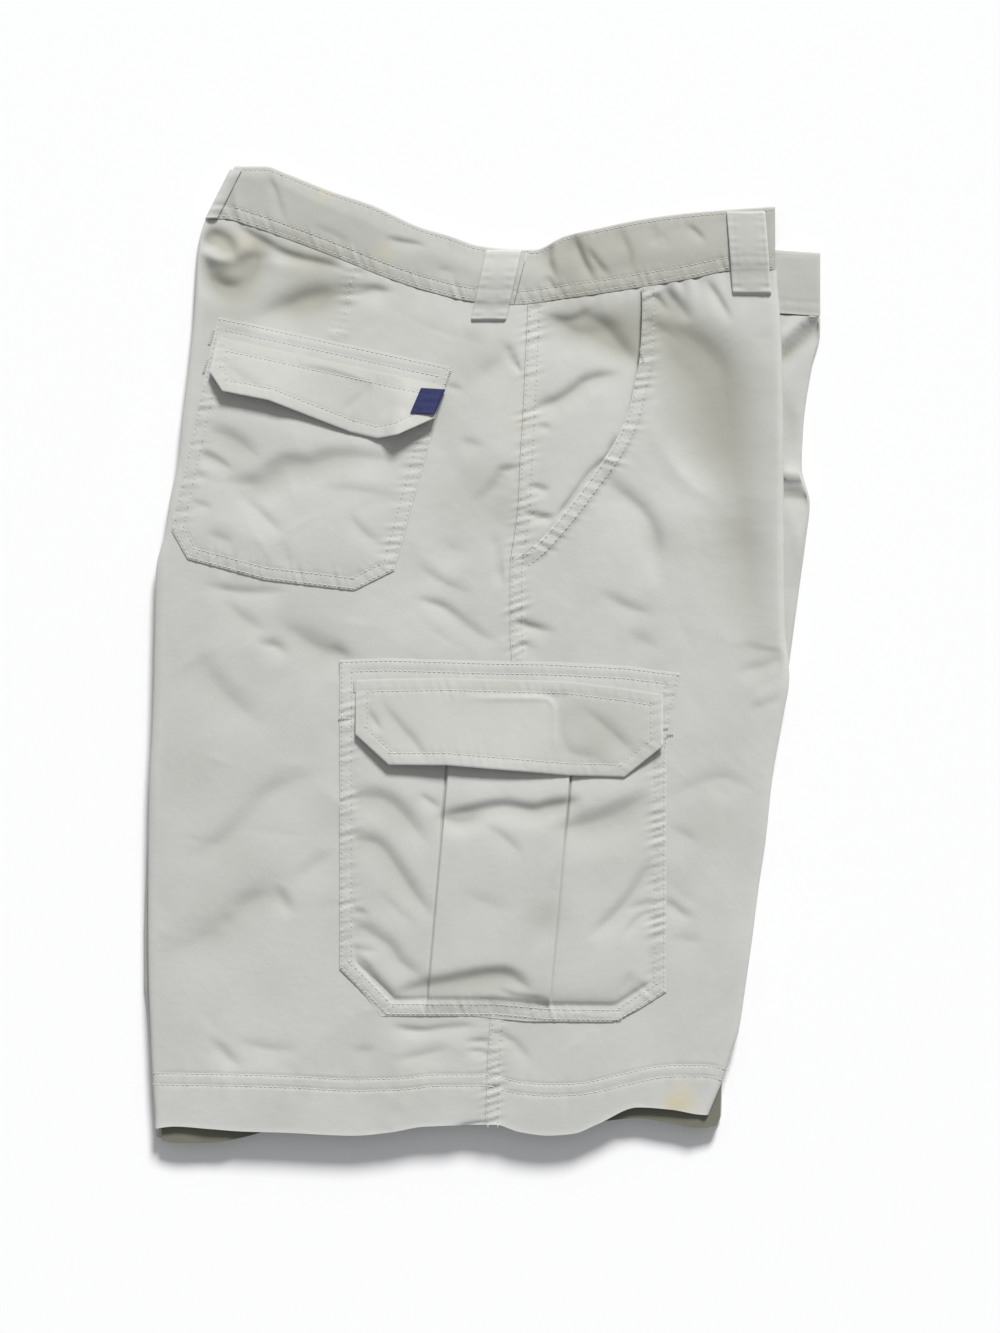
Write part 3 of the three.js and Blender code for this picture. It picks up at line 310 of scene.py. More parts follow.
BAND_FOLDS = [
    Fold([(-135, 303), (-130, 292), (-126, 280)], 3, -1.3),
    Fold([(-160, 304), (-157, 284)], 3, 0.8),
    Fold([(-58, 266), (-46, 264), (-39, 262)], 3.5, -1.2),
    Fold([(-104, 272), (-84, 264)], 5, -0.7),
    Fold([(-28, 246), (-18, 244)], 4, -0.6),
    Fold([(43, 241), (48, 233)], 3, -1.6),
    Fold([(44, 261), (43, 252), (46, 242)], 5, -2.6),
    Fold([(60, 267), (65, 256), (71, 242)], 5, -3.2),
    Fold([(70, 258), (80, 243)], 4, -2.0),
    Fold([(91, 269), (95, 256), (94, 244)], 4.5, -2.2),
    Fold([(110, 272), (112, 262)], 4, -1.0),
    Fold([(133, 273), (141, 265)], 3, -1.2),
    Fold([(112, 270), (120, 262)], 5, -0.6),
]

# Pockets and flaps, each in its pocket's own frame: across from the upper left corner, and down
BACK_POCKET = dict(x=-172, y=216, tilt=np.radians(-12.3), taper=0.945, width=155.4, length=156)
BACK_OUTLINE = table("across top bottom", [
    (3.5, 0, 139), (19, 0, 155.5), (73, 0, 158), (133, 0, 152.5), (155.4, 0, 134.7),
])
BACK_FLAP = table("across top bottom", [
    (6.5, 13, 36), (17.5, 13, 46.5), (48, 13, 46), (78, 13, 50.6), (104, 13, 54.6),
    (122, 13, 55), (134.5, 13, 50), (154.5, 13, 34.6),
])
CARGO_POCKET = dict(x=-90.8, y=-3.8, tilt=0.0, taper=1.0, width=207.8, length=229)
CARGO_OUTLINE = table("across top bottom", [
    (0, 0, 196.5), (29.6, -1, 226.6), (98.6, 1, 226.6), (132.5, 1.5, 229.8), (178, 4, 230.4),
    (207.8, 8.4, 211.2),
])
CARGO_FLAP = table("across top bottom", [
    (10.3, 12.8, 47.4), (31.4, 12, 66.6), (68.5, 11.4, 66.8), (144.7, 13.5, 73.3),
    (181, 18, 74.3), (205.6, 22, 54.4),
])
POCKET_CLEAR = 4.2
POCKET_EDGE = 0.8
POCKET_LIFT = 1.2
BACK_BILLOW = 1.5
CARGO_BILLOW = 2.3
SHOW_THROUGH = 0.3
CARGO_EAR = (11, 48)
PLEAT_LEFT = 68.5
PLEAT_RIGHT = 146.5
PLEAT_LEAN = -0.0875
PLEAT_TOP = 72
PLEAT_RISE = 1.8
PLEAT_GAP = 1.3
BAND_ROW = 10.5
TAB_START = 139
TAB_TOP = 17.5
TAB_WIDTH = 15.4
TAB_LENGTH = 17.1
TAB_SKEW = 2.5
STRIP = dict(low=(-18, -82), high=(46, -28), corner=8)
BACK_FOLDS = [
    Fold([(-168, 141), (-158, 137), (-146, 130)], 8, -3.4),
    Fold([(-178, 129), (-170, 126), (-162, 120)], 4, -3.4),
    Fold([(-149, 112), (-142, 113), (-134, 120), (-124, 124), (-110, 122), (-95, 125), (-66, 126)], 9, -6.0),
    Fold([(-190, 116), (-177, 115)], 3, -1.4),
    Fold([(-186, 97), (-174, 95)], 3.5, -1.4),
    Fold([(-151, 100), (-141, 93), (-130, 83)], 6, -1.9),
    Fold([(-96, 106), (-60, 102)], 8, -1.0),
    Fold([(-82, 86), (-76, 78), (-66, 72)], 5, -1.0),
    Fold([(-124, 70), (-122, 56)], 5, -0.9),
    Fold([(-172, 76), (-160, 72)], 5, -0.9),
]
CARGO_FOLDS = [
    Fold([(-81, -91), (-68, -91), (-58, -94), (-48, -101), (-39, -110)], 9, -4.2),
    Fold([(-38, -90), (-28, -97)], 4, -1.0),
    Fold([(-83, -115), (-72, -118), (-64, -122), (-56, -132), (-46, -144), (-34, -158)], 8, -2.8),
    Fold([(-85, -174), (-76, -174), (-66, -178), (-56, -184), (-50, -192), (-43, -198)], 8, -4.2),
    Fold([(-86, -187), (-70, -188)], 3.5, -1.2),
    Fold([(-84, -163), (-74, -164)], 3.5, -1.2),
    Fold([(-82, -192), (-76, -194), (-70, -204), (-62, -213), (-56, -217)], 5, -2.4),
    Fold([
        (-19, -99), (-10, -98), (2, -96.5), (14, -96), (24, -97.5), (33, -98), (42, -95), (53, -92),
    ], 6, -7.0),
    Fold([(-24, -104), (-13, -106), (-4, -102)], 5, -2.2),
    Fold([(-46, -212), (-34, -208), (-13, -204), (4, -203), (16, -204), (24, -208)], 7, -7.0),
    Fold([(12, -212), (22, -216), (38, -219)], 3, -1.4),
    Fold([(52, -109), (64, -105), (76, -100), (88, -95), (96, -91)], 10, -6.0),
    Fold([(105, -133), (96, -145), (88, -158), (80, -168), (73, -175)], 6, -2.2),
    Fold([(111, -155), (95, -161)], 4, -1.4),
    Fold([(91, -176), (98, -168), (111, -162)], 4, -1.4),
    Fold([(46, -138), (40, -152), (33, -180)], 8, -1.6),
    Fold([(4, -108), (12, -114), (22, -124)], 6, -1.0),
    Fold([(93, -204), (88, -213)], 3, -1.2),
    Fold([(-60, -152), (-44, -170)], 7, -1.0),
    Fold([(-6, -150), (14, -158)], 9, -0.6),
]
CARGO_FLAP_FOLDS = [
    Fold([(-71, -36), (-64, -46)], 4, -1.2),
    Fold([(-59, -33), (-52, -44), (-45, -53), (-38, -62)], 6, -1.6),
    Fold([(52, -33), (54, -48), (58, -59), (70, -63), (79, -69)], 8, -0.8),
    Fold([(67, -36), (78, -42), (88, -50), (97, -59)], 8, -1.4),
    Fold([(38, -24), (54, -26)], 4, -0.8),
]
BACK_FLAP_FOLDS = [
    Fold([(-160, 186), (-140, 172)], 8, -0.7),
    Fold([(-112, 184), (-90, 178), (-70, 172)], 4, 0.6),
    Fold([(-88, 156), (-76, 168)], 4, -0.8),
    Fold([(-60, 160), (-40, 158)], 8, -0.7),
]

# How far down each flap starts and reaches, and how far its free edge stands off, across the pocket
BACK_FLAP_DROP = (13, 40)
CARGO_FLAP_DROP = (12, 58)
FLAP_SEAM = 1.5
BACK_FLAP_LIFT = table("across lift", [
    (6, 7.2), (30, 7.6), (48, 7.8), (68, 4.2), (90, 2.6), (112, 1.4), (121, 2.6), (133, 10.5), (155, 11),
])
CARGO_FLAP_LIFT = table("across lift", [
    (10, 4.4), (40, 5.4), (68, 6.4), (100, 5.2), (140, 3.0), (165, 1.6), (185, 1.8), (206, 5.0),
])

# Painted light (positive) and painted shade (negative): soft spots that lighten or darken the cloth where its
# folds and recesses catch or miss the light
PAINTED_LIGHT_AND_SHADE = table("x y radius strength", [
    (-46, 33, 20, 0.35), (100, 158, 15, 0.4), (124, 104, 20, 0.4), (82, 70, 24, 0.3),
    (176, 178, 26, -0.3), (180, 130, 22, -0.25), (176, 80, 22, -0.35), (172, 30, 24, -0.35),
    (146, 192, 18, -0.35), (128, 208, 16, -0.35), (112, 218, 14, -0.5), (-110, 240, 26, -0.3),
    (-150, 228, 16, -0.35), (-100, 212, 30, -0.2), (-50, 222, 26, -0.2), (-165, 215, 20, -0.2),
    (-5, 190, 22, -0.3), (0, 98, 24, -0.4), (60, 216, 15, -0.5), (86, 210, 13, -0.9),
    (97, 200, 9, -0.4), (50, 150, 20, -0.15), (58, 254, 17, -0.3), (92, 258, 14, -0.15),
    (148, -108, 24, -0.2), (-186, -75, 26, -0.2), (-150, -235, 34, 0.25), (-104, 14, 16, -0.2),
    (4, -84, 18, 0.4), (-55, -84, 18, 0.3), (66, -207, 22, 0.4), (-10, -186, 18, 0.35),
    (40, -165, 12, -0.3), (74, -55, 16, -0.25), (58, -36, 9, -0.25), (-60, -112, 14, -0.2),
    (-160, -125, 22, -0.15), (-165, -166, 20, -0.15), (-70, 128, 14, 0.3), (130, 196, 12, -0.3),
    (-20, 165, 22, -0.2), (-75, 250, 10, -0.2), (-112, 232, 14, -0.4), (-150, 118, 20, -0.2),
    (101, -250, 40, 0.25), (152, -30, 28, 0.25), (-53, 62, 20, 0.2), (-162, 227, 15, -0.25),
    (-150, 263, 8, -0.4), (-173, 267, 6, -1.2), (-163, 262, 7, -1.2), (-152, 250, 9, -0.8),
    (-164, 242, 9, -0.9), (-138, 262, 10, -0.5), (-118, 257, 11, -0.5), (-100, 250, 9, -0.5),
    (-130, 75, 30, 0.3), (-178, 85, 18, 0.3), (178, -5, 20, -0.3), (114, 74, 12, -0.2),
    (-60, 5, 20, 0.2),
])

# Faint yellow stains
STAINS = table("x y radius strength", [
    (127, -284, 9, 0.75), (120, -287, 5, 0.5), (-101, 294, 5, 0.35), (-62, 256, 6, 0.35),
    (-150, 262, 7, 0.2), (20, 150, 10, 0.12), (-40, -268, 12, 0.12),
])


def curve(rows, start, end):
    """Monotone cubic through two columns of a table, which never overshoots a row."""
    order = np.argsort(rows[start])
    xs, ys = rows[start][order], rows[end][order]
    rises = np.diff(ys) / np.diff(xs)
    before = np.concatenate([rises[:1], rises])
    after = np.concatenate([rises, rises[-1:]])
    turning = before * after <= 0
    slopes = np.where(turning, 0, 2 * before * after / np.where(turning, 1, before + after))

    def at(value):
        x = np.clip(value, xs[0], xs[-1])
        k = np.clip(np.searchsorted(xs, x, side="right") - 1, 0, len(xs) - 2)
        span = xs[k + 1] - xs[k]
        t = (x - xs[k]) / span
        u = 1 - t
        ends = ys[k] * u * u * (1 + 2 * t) + ys[k + 1] * t * t * (3 - 2 * t)
        return ends + span * t * u * (slopes[k] * u - slopes[k + 1] * t)

    return at


back_edge = curve(UPPER_LEG, "y", "back")
side_seam = curve(UPPER_LEG, "y", "seam")
front_edge = curve(UPPER_LEG, "y", "front")
lower_back = curve(LOWER_LEG, "y", "back")
lower_front = curve(LOWER_LEG, "y", "front")
waist_seam = curve(WAIST_SEAM, "x", "y")
waist_top = curve(WAIST_TOP, "x", "y")
hem_outer = curve(HEM, "x", "outer")
hem_inner = curve(HEM, "x", "inner")
pocket_mouth = curve(POCKET_MOUTH, "y", "x")
hem_stitch = curve(HEM_STITCH, "x", "y")
stack_back = curve(LAYERS, "down", "back")
stack_front = curve(LAYERS, "down", "front")
fold_radius = curve(LAYERS, "down", "fold")
crown_height = curve(LAYERS, "down", "crown")


def mix(a, b, share):
    """From a to b, by a share."""
    return a + (b - a) * share


def step(value, low, high):
    """Goes smoothly from 0 to 1 between two values."""
    t = np.clip((value - low) / (high - low), 0, 1)
    return t * t * (3 - 2 * t)


def near(offset, width):
    """1 on a line, and nothing a few widths away from it."""
    return np.exp(-((offset / width) ** 2))


def fading(depth, reach):
    """1 at an edge and beyond it, and less and less with the depth in from it."""
    return np.exp(-np.maximum(depth, 0) / reach)


def nearest(path, x, y):
    """Length run along a path, offset from it (positive on its left), and the path's whole length."""
    best = np.full(np.shape(x), np.inf)
    run = np.zeros(np.shape(x))
    side = np.ones(np.shape(x))
    total = 0.0
    for (ax, ay), (bx, by) in zip(path[:-1], path[1:]):
        dx, dy = bx - ax, by - ay
        length = np.hypot(dx, dy)
        t = np.clip(((x - ax) * dx + (y - ay) * dy) / length**2, 0, 1)
        ox, oy = x - ax - t * dx, y - ay - t * dy
        away = np.hypot(ox, oy)
        closer = away < best
        run = np.where(closer, total + t * length, run)
        side = np.where(closer, np.where(dx * oy - dy * ox >= 0, 1, -1), side)
        best = np.minimum(best, away)
        total += length
    return run, best * side, total


def off_path(path, x, y):
    """Offset from a path, positive on its left."""
    return nearest(path, x, y)[1]


def rounded(path, count=4):
    """The same path with its corners rounded off."""
    points = np.array([path[0], *path, path[-1]], dtype=float)
    rounds = []
    for a, b, c, d in zip(points[:-3], points[1:-2], points[2:-1], points[3:]):
        for t in np.arange(count) / count:
            bend = (2 * b + (c - a) * t + (2 * a - 5 * b + 4 * c - d) * t**2 + (3 * b - a - 3 * c + d) * t**3)
            rounds.append(bend / 2)
    return [tuple(p) for p in rounds] + [tuple(points[-1])]


def crease(off, width, soft=SOFT):
    """Profile of a fold: a soft swell with a sharper middle."""
    share = off / width
    return 0.5 * np.exp(-share**2) + 0.5 * np.exp(-2.2 * (np.sqrt(share**2 + soft**2) - soft))


def extended(fold):
    """A fold's rounded path with a straight lead at both ends, over which the fold fades, and its length."""
    path = np.array(rounded(fold.path))
    length = np.hypot(*np.diff(path, axis=0).T).sum()
    lead = min(0.25 * length, 1.5 * fold.width) + 0.4 * fold.width
    first, last = path[0] - path[1], path[-1] - path[-2]
    first, last = path[0] + lead * first / np.hypot(*first), path[-1] + lead * last / np.hypot(*last)
    return [tuple(first), *[tuple(p) for p in path], tuple(last)], lead


def fold_at(fold, x, y):
    """One fold, steeper on its shaded side. Its line follows that side, so its middle lies beside it."""
    towards = np.array([np.sin(np.radians(KEY_TURN)), np.cos(np.radians(KEY_TURN))])
    path, lead = extended(fold)
    run, off, length = nearest(path, x, y)
    fade = step(run, 0, 0.5 * min(length, 4 * lead)) * step(length - run, 0, 0.5 * min(length, 4 * lead))
    run = run - lead
    ahead = np.subtract(fold.path[-1], fold.path[0])
    shaded = -np.sign(fold.rise) * np.sign(ahead[0] * towards[1] - ahead[1] * towards[0])
    off = off + BESIDE * shaded * fold.width
    start = fold.path[0][0] + fold.path[0][1]
    off = off + WANDER * fold.width * np.sin(run / (1.3 * fold.width + 4) + start)
    uneven = 0.85 + 0.25 * np.sin(run / (2.1 * fold.width + 6) + 2 * start)
    width = fold.width * np.where(off * shaded > 0, 1 - SHARPER, 1 + SHARPER)
    return fold.rise * fade * uneven * crease(off, width, max(SOFT, SOFTER * fold.width))


def folds_at(folds, x, y):
    """Sum of the listed folds, each deepest along its middle and fading at its ends."""
    total = np.zeros(np.shape(x))
    for fold in folds:
        path, _ = extended(fold)
        reach = 3.6 * fold.width
        low, high = np.min(path, axis=0) - reach, np.max(path, axis=0) + reach
        close = (x > low[0]) & (x < high[0]) & (y > low[1]) & (y < high[1])
        if close.any():
            total[close] += fold_at(fold, x[close], y[close])
    return total


def softly(rise, room):
    """A trough is held back so that it never takes more than the room under it."""
    room = np.maximum(room, 0.01)
    return np.where(rise >= 0, rise, -room * (1 - np.exp(np.minimum(rise, 0) / room)))


def ripple(run, seed, lengths=PUCKERS):
    """Uneven small waves along a sewn line, between -1 and 1, in patches."""
    rng = np.random.default_rng(seed)
    waves = sum(
        rng.uniform(0.6, 1) * np.sin(2 * np.pi * run / length + rng.uniform(0, 2 * np.pi))
        for length in lengths
    )
    patches = 0.75 + 0.3 * np.sin(2 * np.pi * run / 61 + rng.uniform(0, 2 * np.pi))
    return waves / len(lengths) * 1.6 * patches


def swells(x, y, seed, count, rise, long, wide):
    """Low swells at seeded places, so that no stretch of cloth is quite flat."""
    rng = np.random.default_rng(seed)
    total = np.zeros(np.shape(x))
    for _ in range(count):
        cx, cy = rng.uniform(-SIDE, SIDE), rng.uniform(-TOP, TOP)
        turn, height = rng.uniform(0, np.pi), rng.uniform(-rise, rise)
        length, width = long * rng.uniform(0.5, 1.4), wide * rng.uniform(0.6, 1.3)
        close = np.hypot(x - cx, y - cy) < 2.4 * length
        if close.any():
            dx, dy = x[close] - cx, y[close] - cy
            along, off = dx * np.cos(turn) + dy * np.sin(turn), dy * np.cos(turn) - dx * np.sin(turn)
            total[close] += height * near(along, length) * crease(off + 0.004 * along**2, width)
    return total


def undulation(x, y, seed, rise=1.0):
    """Broad and fine swells together."""
    broad = swells(x, y, seed, count=60, rise=0.8 * rise, long=42, wide=15)
    fine = swells(x, y, seed + 1, count=420, rise=0.26 * rise, long=15, wide=4.6)
    return broad + fine


def sewn(path, x, y, rows, pucker, reach, seed, groove=GROOVE):
    """Stitch rows at offsets from a path sink in, and the cloth puckers about them."""
    run, off, _ = nearest(path, x, y)
    sunk = sum(near(off - row, GROOVE_WIDTH) for row in rows)
    middle = sum(rows) / len(rows)
    waves = ripple(run + 0.35 * off, seed) * near(off - middle, reach)
    return pucker * waves - groove * sunk


def down_leg(x, y):
    """Share of the way from the waist seam to the hem."""
    return np.clip((waist_seam(x) - y) / (waist_seam(x) - hem_outer(x)), 0, 1)


def stack_height(x, y):
    """How high the hidden layers stand under the upper leg's front layer."""
    across = np.clip((x - back_edge(y)) / (front_edge(y) - back_edge(y)), 0, 1)
    down = down_leg(x, y)
    return mix(stack_back(down), stack_front(down), step(across, 0, 1))


def fold_rise(distance, radius):
    """Height of a round edge at a distance in from it."""
    short = radius - np.clip(distance, 0, radius)
    return np.sqrt(np.maximum(radius**2 - short**2, 0))


def edge_distance(x, y):
    return np.minimum(x - back_edge(y), front_edge(y) - x)


def puff(distance):
    return 1 - fading(distance, PUFF_REACH)


def full_height(x, y):
    """The smooth top of the upper leg, before its folds and edges."""
    down = down_leg(x, y)
    middle = puff(x - back_edge(y)) * puff(front_edge(y) - x)
    return stack_height(x, y) + FOLD_GAP + fold_radius(down) + crown_height(down) * middle


def cap_height(x, y):
    """Top of the hidden layers: low at the edges, then close under the upper leg."""
    stack = stack_height(x, y)
    rise = np.maximum(full_height(x, y) - CAP_DEPTH - stack, 0)
    return stack + rise * step(edge_distance(x, y), 3, 25) * step(y - hem_inner(x), 20, 46)


def room_under(level, x, y):
    """How far the upper cloth can sink before it meets the lower leg."""
    return np.maximum(level - LOWER_SHARE * stack_height(x, y) - CLOTH - LAYER_GAP, LEAST_ROOM)


def seam_path(edge, low, high, count=60):
    ys = np.linspace(high, low, count)
    return list(zip(edge(ys), ys))


def across_path(height, low, high, count=50):
    xs = np.linspace(low, high, count)
    return list(zip(xs, height(xs)))


side_seam_path = seam_path(side_seam, -302, 224)
mouth_path = seam_path(pocket_mouth, 62, 234)
waist_path = across_path(waist_seam, -176, 187)
hem_path = across_path(hem_stitch, -211, 158)


def side_fell(x, y):
    """The felled side seam: a band on its front side, with two rows of stitching and puckers."""
    off = off_path(side_seam_path, x, y)
    band = 0.35 * step(off, -0.8, 0.6) * (1 - step(off, ROW_SPACING + 1.2, ROW_SPACING + 3))
    return band + sewn(side_seam_path, x, y, TWO_ROWS, 0.75, 7, 11, 0.1)


def leg_details(x, y):
    """Everything sewn into the leg itself: side seam, dart, waist puckers and hem."""
    below_waist = -off_path(waist_path, x, y)
    gathers = mix(0.3, 0.9, step(x, 60, 130)) * ripple(x + 0.2 * y, 5, GATHERS)
    gathers = gathers * fading(below_waist, 9)
    dart = sewn(DART, x, y, (0,), 0.9, 5, 21) + 0.5 * near(off_path(DART, x, y) - 3, 3)
    drop = hem_stitch(x) - y
    hem = 0.1 * step(drop, -0.6, 1.2)
    hem_rows = -1.3 * GROOVE * (near(drop, GROOVE_WIDTH) + near(drop - HEM_ROWS, GROOVE_WIDTH))
    hem_waves = 0.35 * ripple(x, 31, HEM_WAVES) * near(drop - 4, 8)
    return side_fell(x, y) + gathers + dart + hem + hem_rows + hem_waves


def leg_form(x, y):
    """The leg with its folds, without its sewing."""
    radius = fold_radius(down_leg(x, y))
    inside = step(edge_distance(x, y), 1, 8)
    shape = folds_at(LEG_FOLDS, x, y) + undulation(x, y, 3)
    smooth = full_height(x, y) - radius + fold_rise(edge_distance(x, y), radius)
    return smooth + softly(shape * inside, room_under(smooth, x, y))


def leg_height(x, y):
    return leg_form(x, y) + leg_details(x, y) * step(edge_distance(x, y), -4, 12)


def front_height(x, y):
    """The front panel's edge along the pocket mouth is turned and stitched twice."""
    run, off, _ = nearest(mouth_path, x, y)
    mouth = sewn(mouth_path, x, y, TWO_ROWS, 0.6, 7, 41, 0.1)
    edge = 1.1 * (1 - step(off, ROW_SPACING + 1, ROW_SPACING + 4)) - 0.4 * near(off, 0.7)
    lifted = 1.3 * near(off, 9) * (1 - step(run, 50, 90))
    return leg_height(x, y) + (mouth + edge + lifted) * step(y, 56, 66)


def facing_height(x, y):
    """The cloth behind the pocket mouth, which lies lower than the front panel."""
    level = leg_height(x, y) - PANEL_LIFT * step(x - side_seam(y), 0, 14) * step(waist_seam(x) - y, 0, 30)
    folds = softly(folds_at(FACING_FOLDS, x, y), room_under(level, x, y))
    return level + folds * step(waist_seam(x) - y, 0, 16)


# Waistband heights

def drop_at(x):
    """How far the lower waistband lies below the upper one."""
    return mix(DROP_AT_BACK, DROP_AT_FRONT, np.clip((x + SIDE - 40) / (2 * SIDE - 40), 0, 1))


def under_band_seam(x):
    return waist_seam(x) - drop_at(x)


def under_band_top(x):
    return waist_top(x) - drop_at(x)


def back_end(y):
    up = np.clip((y - BACK_END[2]) / (TOP - BACK_END[2]), 0, 1)
    return mix(BACK_END[0], BACK_END[1], up)


def side_join(y):
    return mix(SIDE_JOIN[0], SIDE_JOIN[1], np.clip((y - SIDE_JOIN_LOW) / SIDE_JOIN_LENGTH, 0, 1))


def band_rows(above, below):
    """The waistband's three rows of stitching: two beside its seam and one under its top edge."""
    beside_seam = sum(near(above - row, GROOVE_WIDTH) for row in BAND_SEAM_ROWS)
    return beside_seam + near(below - BAND_TOP_ROW, GROOVE_WIDTH)


def band_height(x, y):
    """The upper waistband: high at its seam, low at its top edge and round at its ends."""
    seam, top = waist_seam(x), waist_top(x)
    up = np.clip((y - seam) / (top - seam), 0, 1)
    at_seam = full_height(x, seam) + BAND_STEP
    at_edge = mix(BAND_EDGE_AT_BACK, BAND_EDGE, np.clip((x + SIDE) / 120 - 0.3, 0, 1))
    held = 1 - drop_at(x) / (top - seam)
    ends = fold_rise(np.minimum(x - back_end(y), FRONT_END - x), BAND_FOLD) - BAND_FOLD
    level = mix(at_seam, at_edge, step(up, held - BAND_SLOPE, 1)) + ends
    above, below = y - seam, top - y
    rows = band_rows(above, below)
    waves = 0.5 * ripple(x + 0.3 * y, 51) * near(above - 5, 6) + 0.3 * ripple(x, 52) * near(below - 2, 4)
    rounded = -0.9 * fading(below, 0.7) - 0.5 * fading(above, 0.6)
    join = fading(x - side_join(y), 5) * (x > side_join(y))
    shape = folds_at(BAND_FOLDS, x, y) + undulation(x, y, 8, 0.8)
    return level + shape - GROOVE * rows + waves + rounded - join


# Pocket heights

def to_pocket(pocket, x, y):
    dx, dy = x - pocket["x"], y - pocket["y"]
    cos, sin = np.cos(pocket["tilt"]), np.sin(pocket["tilt"])
    return dx * cos + dy * sin, dx * sin - dy * cos


def from_pocket(pocket, across, down):
    cos, sin = np.cos(pocket["tilt"]), np.sin(pocket["tilt"])
    return pocket["x"] + across * cos + down * sin, pocket["y"] + across * sin - down * cos


def pleat_lean(down):
    return PLEAT_LEAN * (down - PLEAT_TOP)


def pleat_rise(across, down, edge=0.8):
    """The box pleat, which stands up between its two edges."""
    lean = pleat_lean(down)
    left = step(across, PLEAT_LEFT + lean - edge, PLEAT_LEFT + lean + edge)
    right = step(across, PLEAT_RIGHT + lean - edge, PLEAT_RIGHT + lean + edge)
    held = step(down, PLEAT_TOP - 50, PLEAT_TOP) * step(CARGO_POCKET["length"] - down, 5, 16)
    return PLEAT_RISE * (left - right) * held


def ear(across, down):
    """The cargo pocket's upper right corner reaches out to the flap's seam."""
    reach, depth = CARGO_EAR
    return reach * (across / CARGO_POCKET["width"]) ** 6 * np.clip(1 - down / depth, 0, 1)


def no_ear(across, _down):
    return 0 * across


def place(pocket, across, down, widen):
    """Places in a pocket's own frame, kept clear of the leg's folded edge."""
    narrowed = across * mix(1, pocket["taper"], down / BACK_POCKET["length"])
    x, y = from_pocket(pocket, narrowed + widen(across, down), down)
    return np.maximum(x, back_edge(y) + POCKET_CLEAR), y


def outline_path(pocket, outline, widen):
    """Closed outline of a pocket or flap, from its upper left corner down and round."""
    across, top, bottom = outline["across"], outline["top"], outline["bottom"]
    steps = np.linspace(0, 1, 9)[1:-1]
    left = mix(top[0], bottom[0], steps)
    right = mix(bottom[-1], top[-1], steps)
    a = np.concatenate([across[:1], 0 * left + across[0], across, 0 * right + across[-1], across[::-1]])
    d = np.concatenate([top[:1], left, bottom, right, top[::-1]])
    return list(zip(*place(pocket, a, d, widen)))


def inside(path, x, y):
    """Distance in from a closed outline that runs with its inside on the left, and the run along it."""
    run, off, _ = nearest(path, x, y)
    return np.maximum(off, 0), run


back_path = outline_path(BACK_POCKET, BACK_OUTLINE, no_ear)
back_flap_path = outline_path(BACK_POCKET, BACK_FLAP, no_ear)
cargo_path = outline_path(CARGO_POCKET, CARGO_OUTLINE, ear)
cargo_flap_path = outline_path(CARGO_POCKET, CARGO_FLAP, no_ear)


def sewn_edge(depth, run, seed, pucker, rows=TWO_ROWS):
    """A turned edge that is stitched down: rounded at the rim, sunk at its rows and puckered."""
    sunk = sum(near(depth - row, GROOVE_WIDTH) for row in rows)
    waves = ripple(run + 0.3 * depth, seed) * near(depth - rows[-1] + 2, 6)
    return pucker * waves - GROOVE * sunk - 0.55 * fading(depth, 0.6)


def flush(down):
    """The top of a pocket is sewn flat into the leg, so only a thin edge of it stands up there."""
    return mix(POCKET_EDGE, POCKET_LIFT, step(down, 6, 30))


def billow(depth, rise, start=SECOND_ROW, reach=13):
    """A pocket swells inside its stitched rim."""
    return rise * (1 - fading(depth - start, reach))


def back_pocket_height(x, y):
    _, down = to_pocket(BACK_POCKET, x, y)
    depth, run = inside(back_path, x, y)
    swell = billow(depth, BACK_BILLOW, 4, 20) * step(down, 36, 66)
    shape = folds_at(BACK_FOLDS, x, y) * step(depth, 7, 12)
    edge = sewn_edge(depth, run, 61, 0.45 * step(down, -10, 40))
    return leg_form(x, y) + flush(down) + swell + softly(shape, swell + POCKET_LIFT) + edge


def cargo_base(x, y):
    """The leg under the cargo pocket, where its folds only show through a little."""
    return mix(full_height(x, y), leg_form(x, y), SHOW_THROUGH)


def pleat_gap(across, down):
    """The two narrow gaps where the pleat's edges stand off the pocket, from 0 to 1."""
    lean = pleat_lean(down)
    left = near(across - PLEAT_LEFT - lean + 0.7, 0.7)
    right = near(across - PLEAT_RIGHT - lean - 0.7, 0.7)
    held = mix(1, 0.35, step(down, 95, 125)) * step(CARGO_POCKET["length"] - down, 10, 16)
    return (left + right) * step(down, 58, 64) * held


def cargo_pocket_height(x, y):
    across, down = to_pocket(CARGO_POCKET, x, y)
    depth, run = inside(cargo_path, x, y)
    low = step(down, CARGO_POCKET["length"] - 60, CARGO_POCKET["length"] - 30)
    swell = mix(billow(depth, CARGO_BILLOW), billow(depth, CARGO_BILLOW, BAND_ROW, 5), low)
    swell = swell * step(down, 52, 90)
    shape = folds_at(CARGO_FOLDS, x, y) * step(depth, 7, 12)
    pleat = pleat_rise(across, down) - PLEAT_GAP * pleat_gap(across, down)
    band_line = -0.5 * near(depth - BAND_ROW, 1.3) * low
    edge = sewn_edge(depth, run, 71, 0.6 * step(down, -10, 40) * (1 - 0.4 * low))
    cloth = softly(shape, swell + POCKET_LIFT) + pleat + edge + band_line
    return cargo_base(x, y) + flush(down) + swell + cloth


back_flap_lift = curve(BACK_FLAP_LIFT, "across", "lift")
cargo_flap_lift = curve(CARGO_FLAP_LIFT, "across", "lift")


def flap_rise(down, drop, lift):
    """A flap rises evenly from its seam to its free edge."""
    top, length = drop
    return mix(FLAP_SEAM, FLAP_SEAM + 1 + lift, np.clip((down - top) / length, 0, 1))


